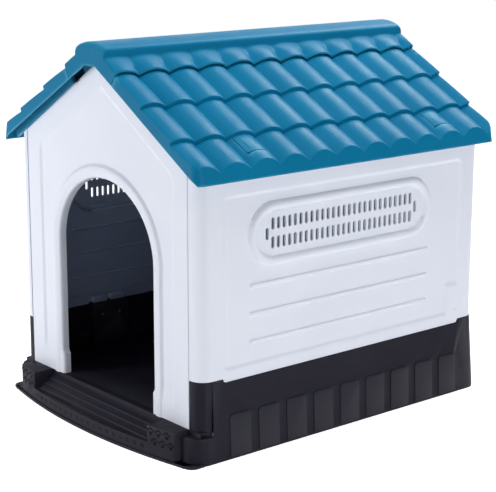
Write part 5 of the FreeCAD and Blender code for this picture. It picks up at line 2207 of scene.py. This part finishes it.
@dataclass
class Studio:
    """Plain pale floor, soft light and the camera of the photograph."""

    camera_place: Place3D = (2.548, -2.0935, 1.1311)
    azimuth: float = 50.32
    elevation: float = 13.60
    roll: float = 0.156
    lens: float = 109.3
    sensor: float = 36.0
    floor_size: float = 30.0
    floor_paint: float = 0.9
    floor_glow: float = 0.8
    ambient: float = 0.22
    backdrop_side: Place3D = (-0.80, 0.45, 0.40)
    backdrop_range: Place2D = (0.0, 0.95)
    backdrop_strength: Place2D = (0.08, 0.9)
    lamps: Tuple[StudioLamp, ...] = (
        StudioLamp("rim", (-0.4, 2.5, 3.05), 2.0, 70.0),
        StudioLamp("top", (0.3, -0.1, 3.6), 1.6, 62.0, mirrored=False),
        StudioLamp("front", (-1.5, -3.3, 0.8), 1.4, 54.0),
        StudioLamp("side", (3.4, -0.2, 0.25), 1.1, 40.0))

    @staticmethod
    def _seen(board: NodeBoard, rays: Sockets) -> Socket:
        """Number that is 1 for camera, glossy and transmission rays."""
        looked = board.math("MAXIMUM", rays["Is Camera Ray"], rays["Is Glossy Ray"])
        return board.math("MAXIMUM", looked, rays["Is Transmission Ray"])

    def _backdrop(self, board: NodeBoard, rays: Sockets) -> Socket:
        """Strength of the white backdrop: 1 to the camera, dim at the right in reflections.

        Args:
            board: Nodes of the world.
            rays: Outputs of its light path node.

        Returns:
            Socket with the strength.
        """
        place = board.node("ShaderNodeTexCoord")["Generated"]
        toward = board.vector_math("DOT_PRODUCT", place, self.backdrop_side)["Value"]
        fade = board.ranged(toward, self.backdrop_range, self.backdrop_strength,
                            interpolation_type="SMOOTHSTEP")
        direct = board.math("MAXIMUM", rays["Is Camera Ray"], rays["Is Transmission Ray"])
        return board.math("MAXIMUM", fade, direct)

    def floor(self) -> None:
        """Lays a pale floor that keeps the shadow of the house."""
        mesh = bpy.data.meshes.new("floor")
        size = self.floor_size
        corners = [(-size, -size, 0), (size, -size, 0), (size, size, 0), (-size, size, 0)]
        mesh.from_pydata(corners, [], [(0, 1, 2, 3)])
        plane = new_object("floor", mesh)
        material = bpy.data.materials.new("pale_floor")
        material.use_nodes = True
        material.node_tree.nodes.clear()
        board = NodeBoard(material.node_tree)
        seen = self._seen(board, board.node("ShaderNodeLightPath"))
        strength = board.math("MULTIPLY", seen, self.floor_glow)
        paint = board.node("ShaderNodeBsdfDiffuse", {"Color": (*[self.floor_paint] * 3, 1.0)})[0]
        glow = board.node("ShaderNodeEmission", {"Strength": strength})[0]
        both = board.node("ShaderNodeAddShader", {0: paint, 1: glow})[0]
        board.node("ShaderNodeOutputMaterial", {"Surface": both})
        mesh.materials.append(material)

    def world(self) -> None:
        """Sets a soft white surround that looks pure white to the camera."""
        world = bpy.data.worlds.new("studio")
        bpy.context.scene.world = world
        world.use_nodes = True
        world.node_tree.nodes.clear()
        board = NodeBoard(world.node_tree)
        rays = board.node("ShaderNodeLightPath")
        white = (1.0, 1.0, 1.0, 1.0)
        light, backdrop = (board.node("ShaderNodeBackground", {"Color": white, "Strength": strength})[0]
                           for strength in (self.ambient, self._backdrop(board, rays)))
        mix = board.node("ShaderNodeMixShader", {"Fac": self._seen(board, rays), 1: light, 2: backdrop})[0]
        board.node("ShaderNodeOutputWorld", {"Surface": mix})

    def camera(self) -> None:
        """Sets the camera where the photograph was taken from."""
        data = bpy.data.cameras.new("camera")
        data.sensor_width = self.sensor
        data.sensor_fit = "HORIZONTAL"
        data.lens = self.lens
        obj = new_object("camera", data)
        a, e = math.radians(self.azimuth), math.radians(self.elevation)
        back = Vector((math.sin(a) * math.cos(e), -math.cos(a) * math.cos(e), math.sin(e)))
        level = (-back).to_track_quat("-Z", "Y").to_matrix()
        turn = level @ Euler((0, 0, math.radians(self.roll))).to_matrix()
        obj.matrix_world = Matrix.Translation(self.camera_place) @ turn.to_4x4()
        bpy.context.scene.camera = obj

    def build(self) -> None:
        """Sets up floor, surround, lamps, camera and plain colour."""
        self.floor()
        self.world()
        for lamp in self.lamps:
            lamp.hang()
        self.camera()
        bpy.context.scene.view_settings.view_transform = "Standard"


def main() -> None:
    """Builds the studio and every piece of the house, and reports each one."""
    logging.basicConfig(level=logging.INFO, format="%(name)s: %(message)s", stream=sys.stdout)
    Studio().build()
    finishes, trees = Finishes(), Trees()
    TrayBase(finishes, trees).build()
    GableWall(GableKind.FRONT, finishes).build()
    GableWall(GableKind.REAR, finishes, step=5.5).build()
    for hand in Hand:
        SideWall(hand, finishes, trees).build()
        TiledPanel(hand, finishes, trees).build()
    RidgeCap(finishes, trees).build()
    for node in sorted(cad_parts):
        if node.startswith("roof_latch"):
            RoofLatch(node, finishes).build()
    ScrewSet(finishes, trees).build()


if __name__ == "__main__":
    main()
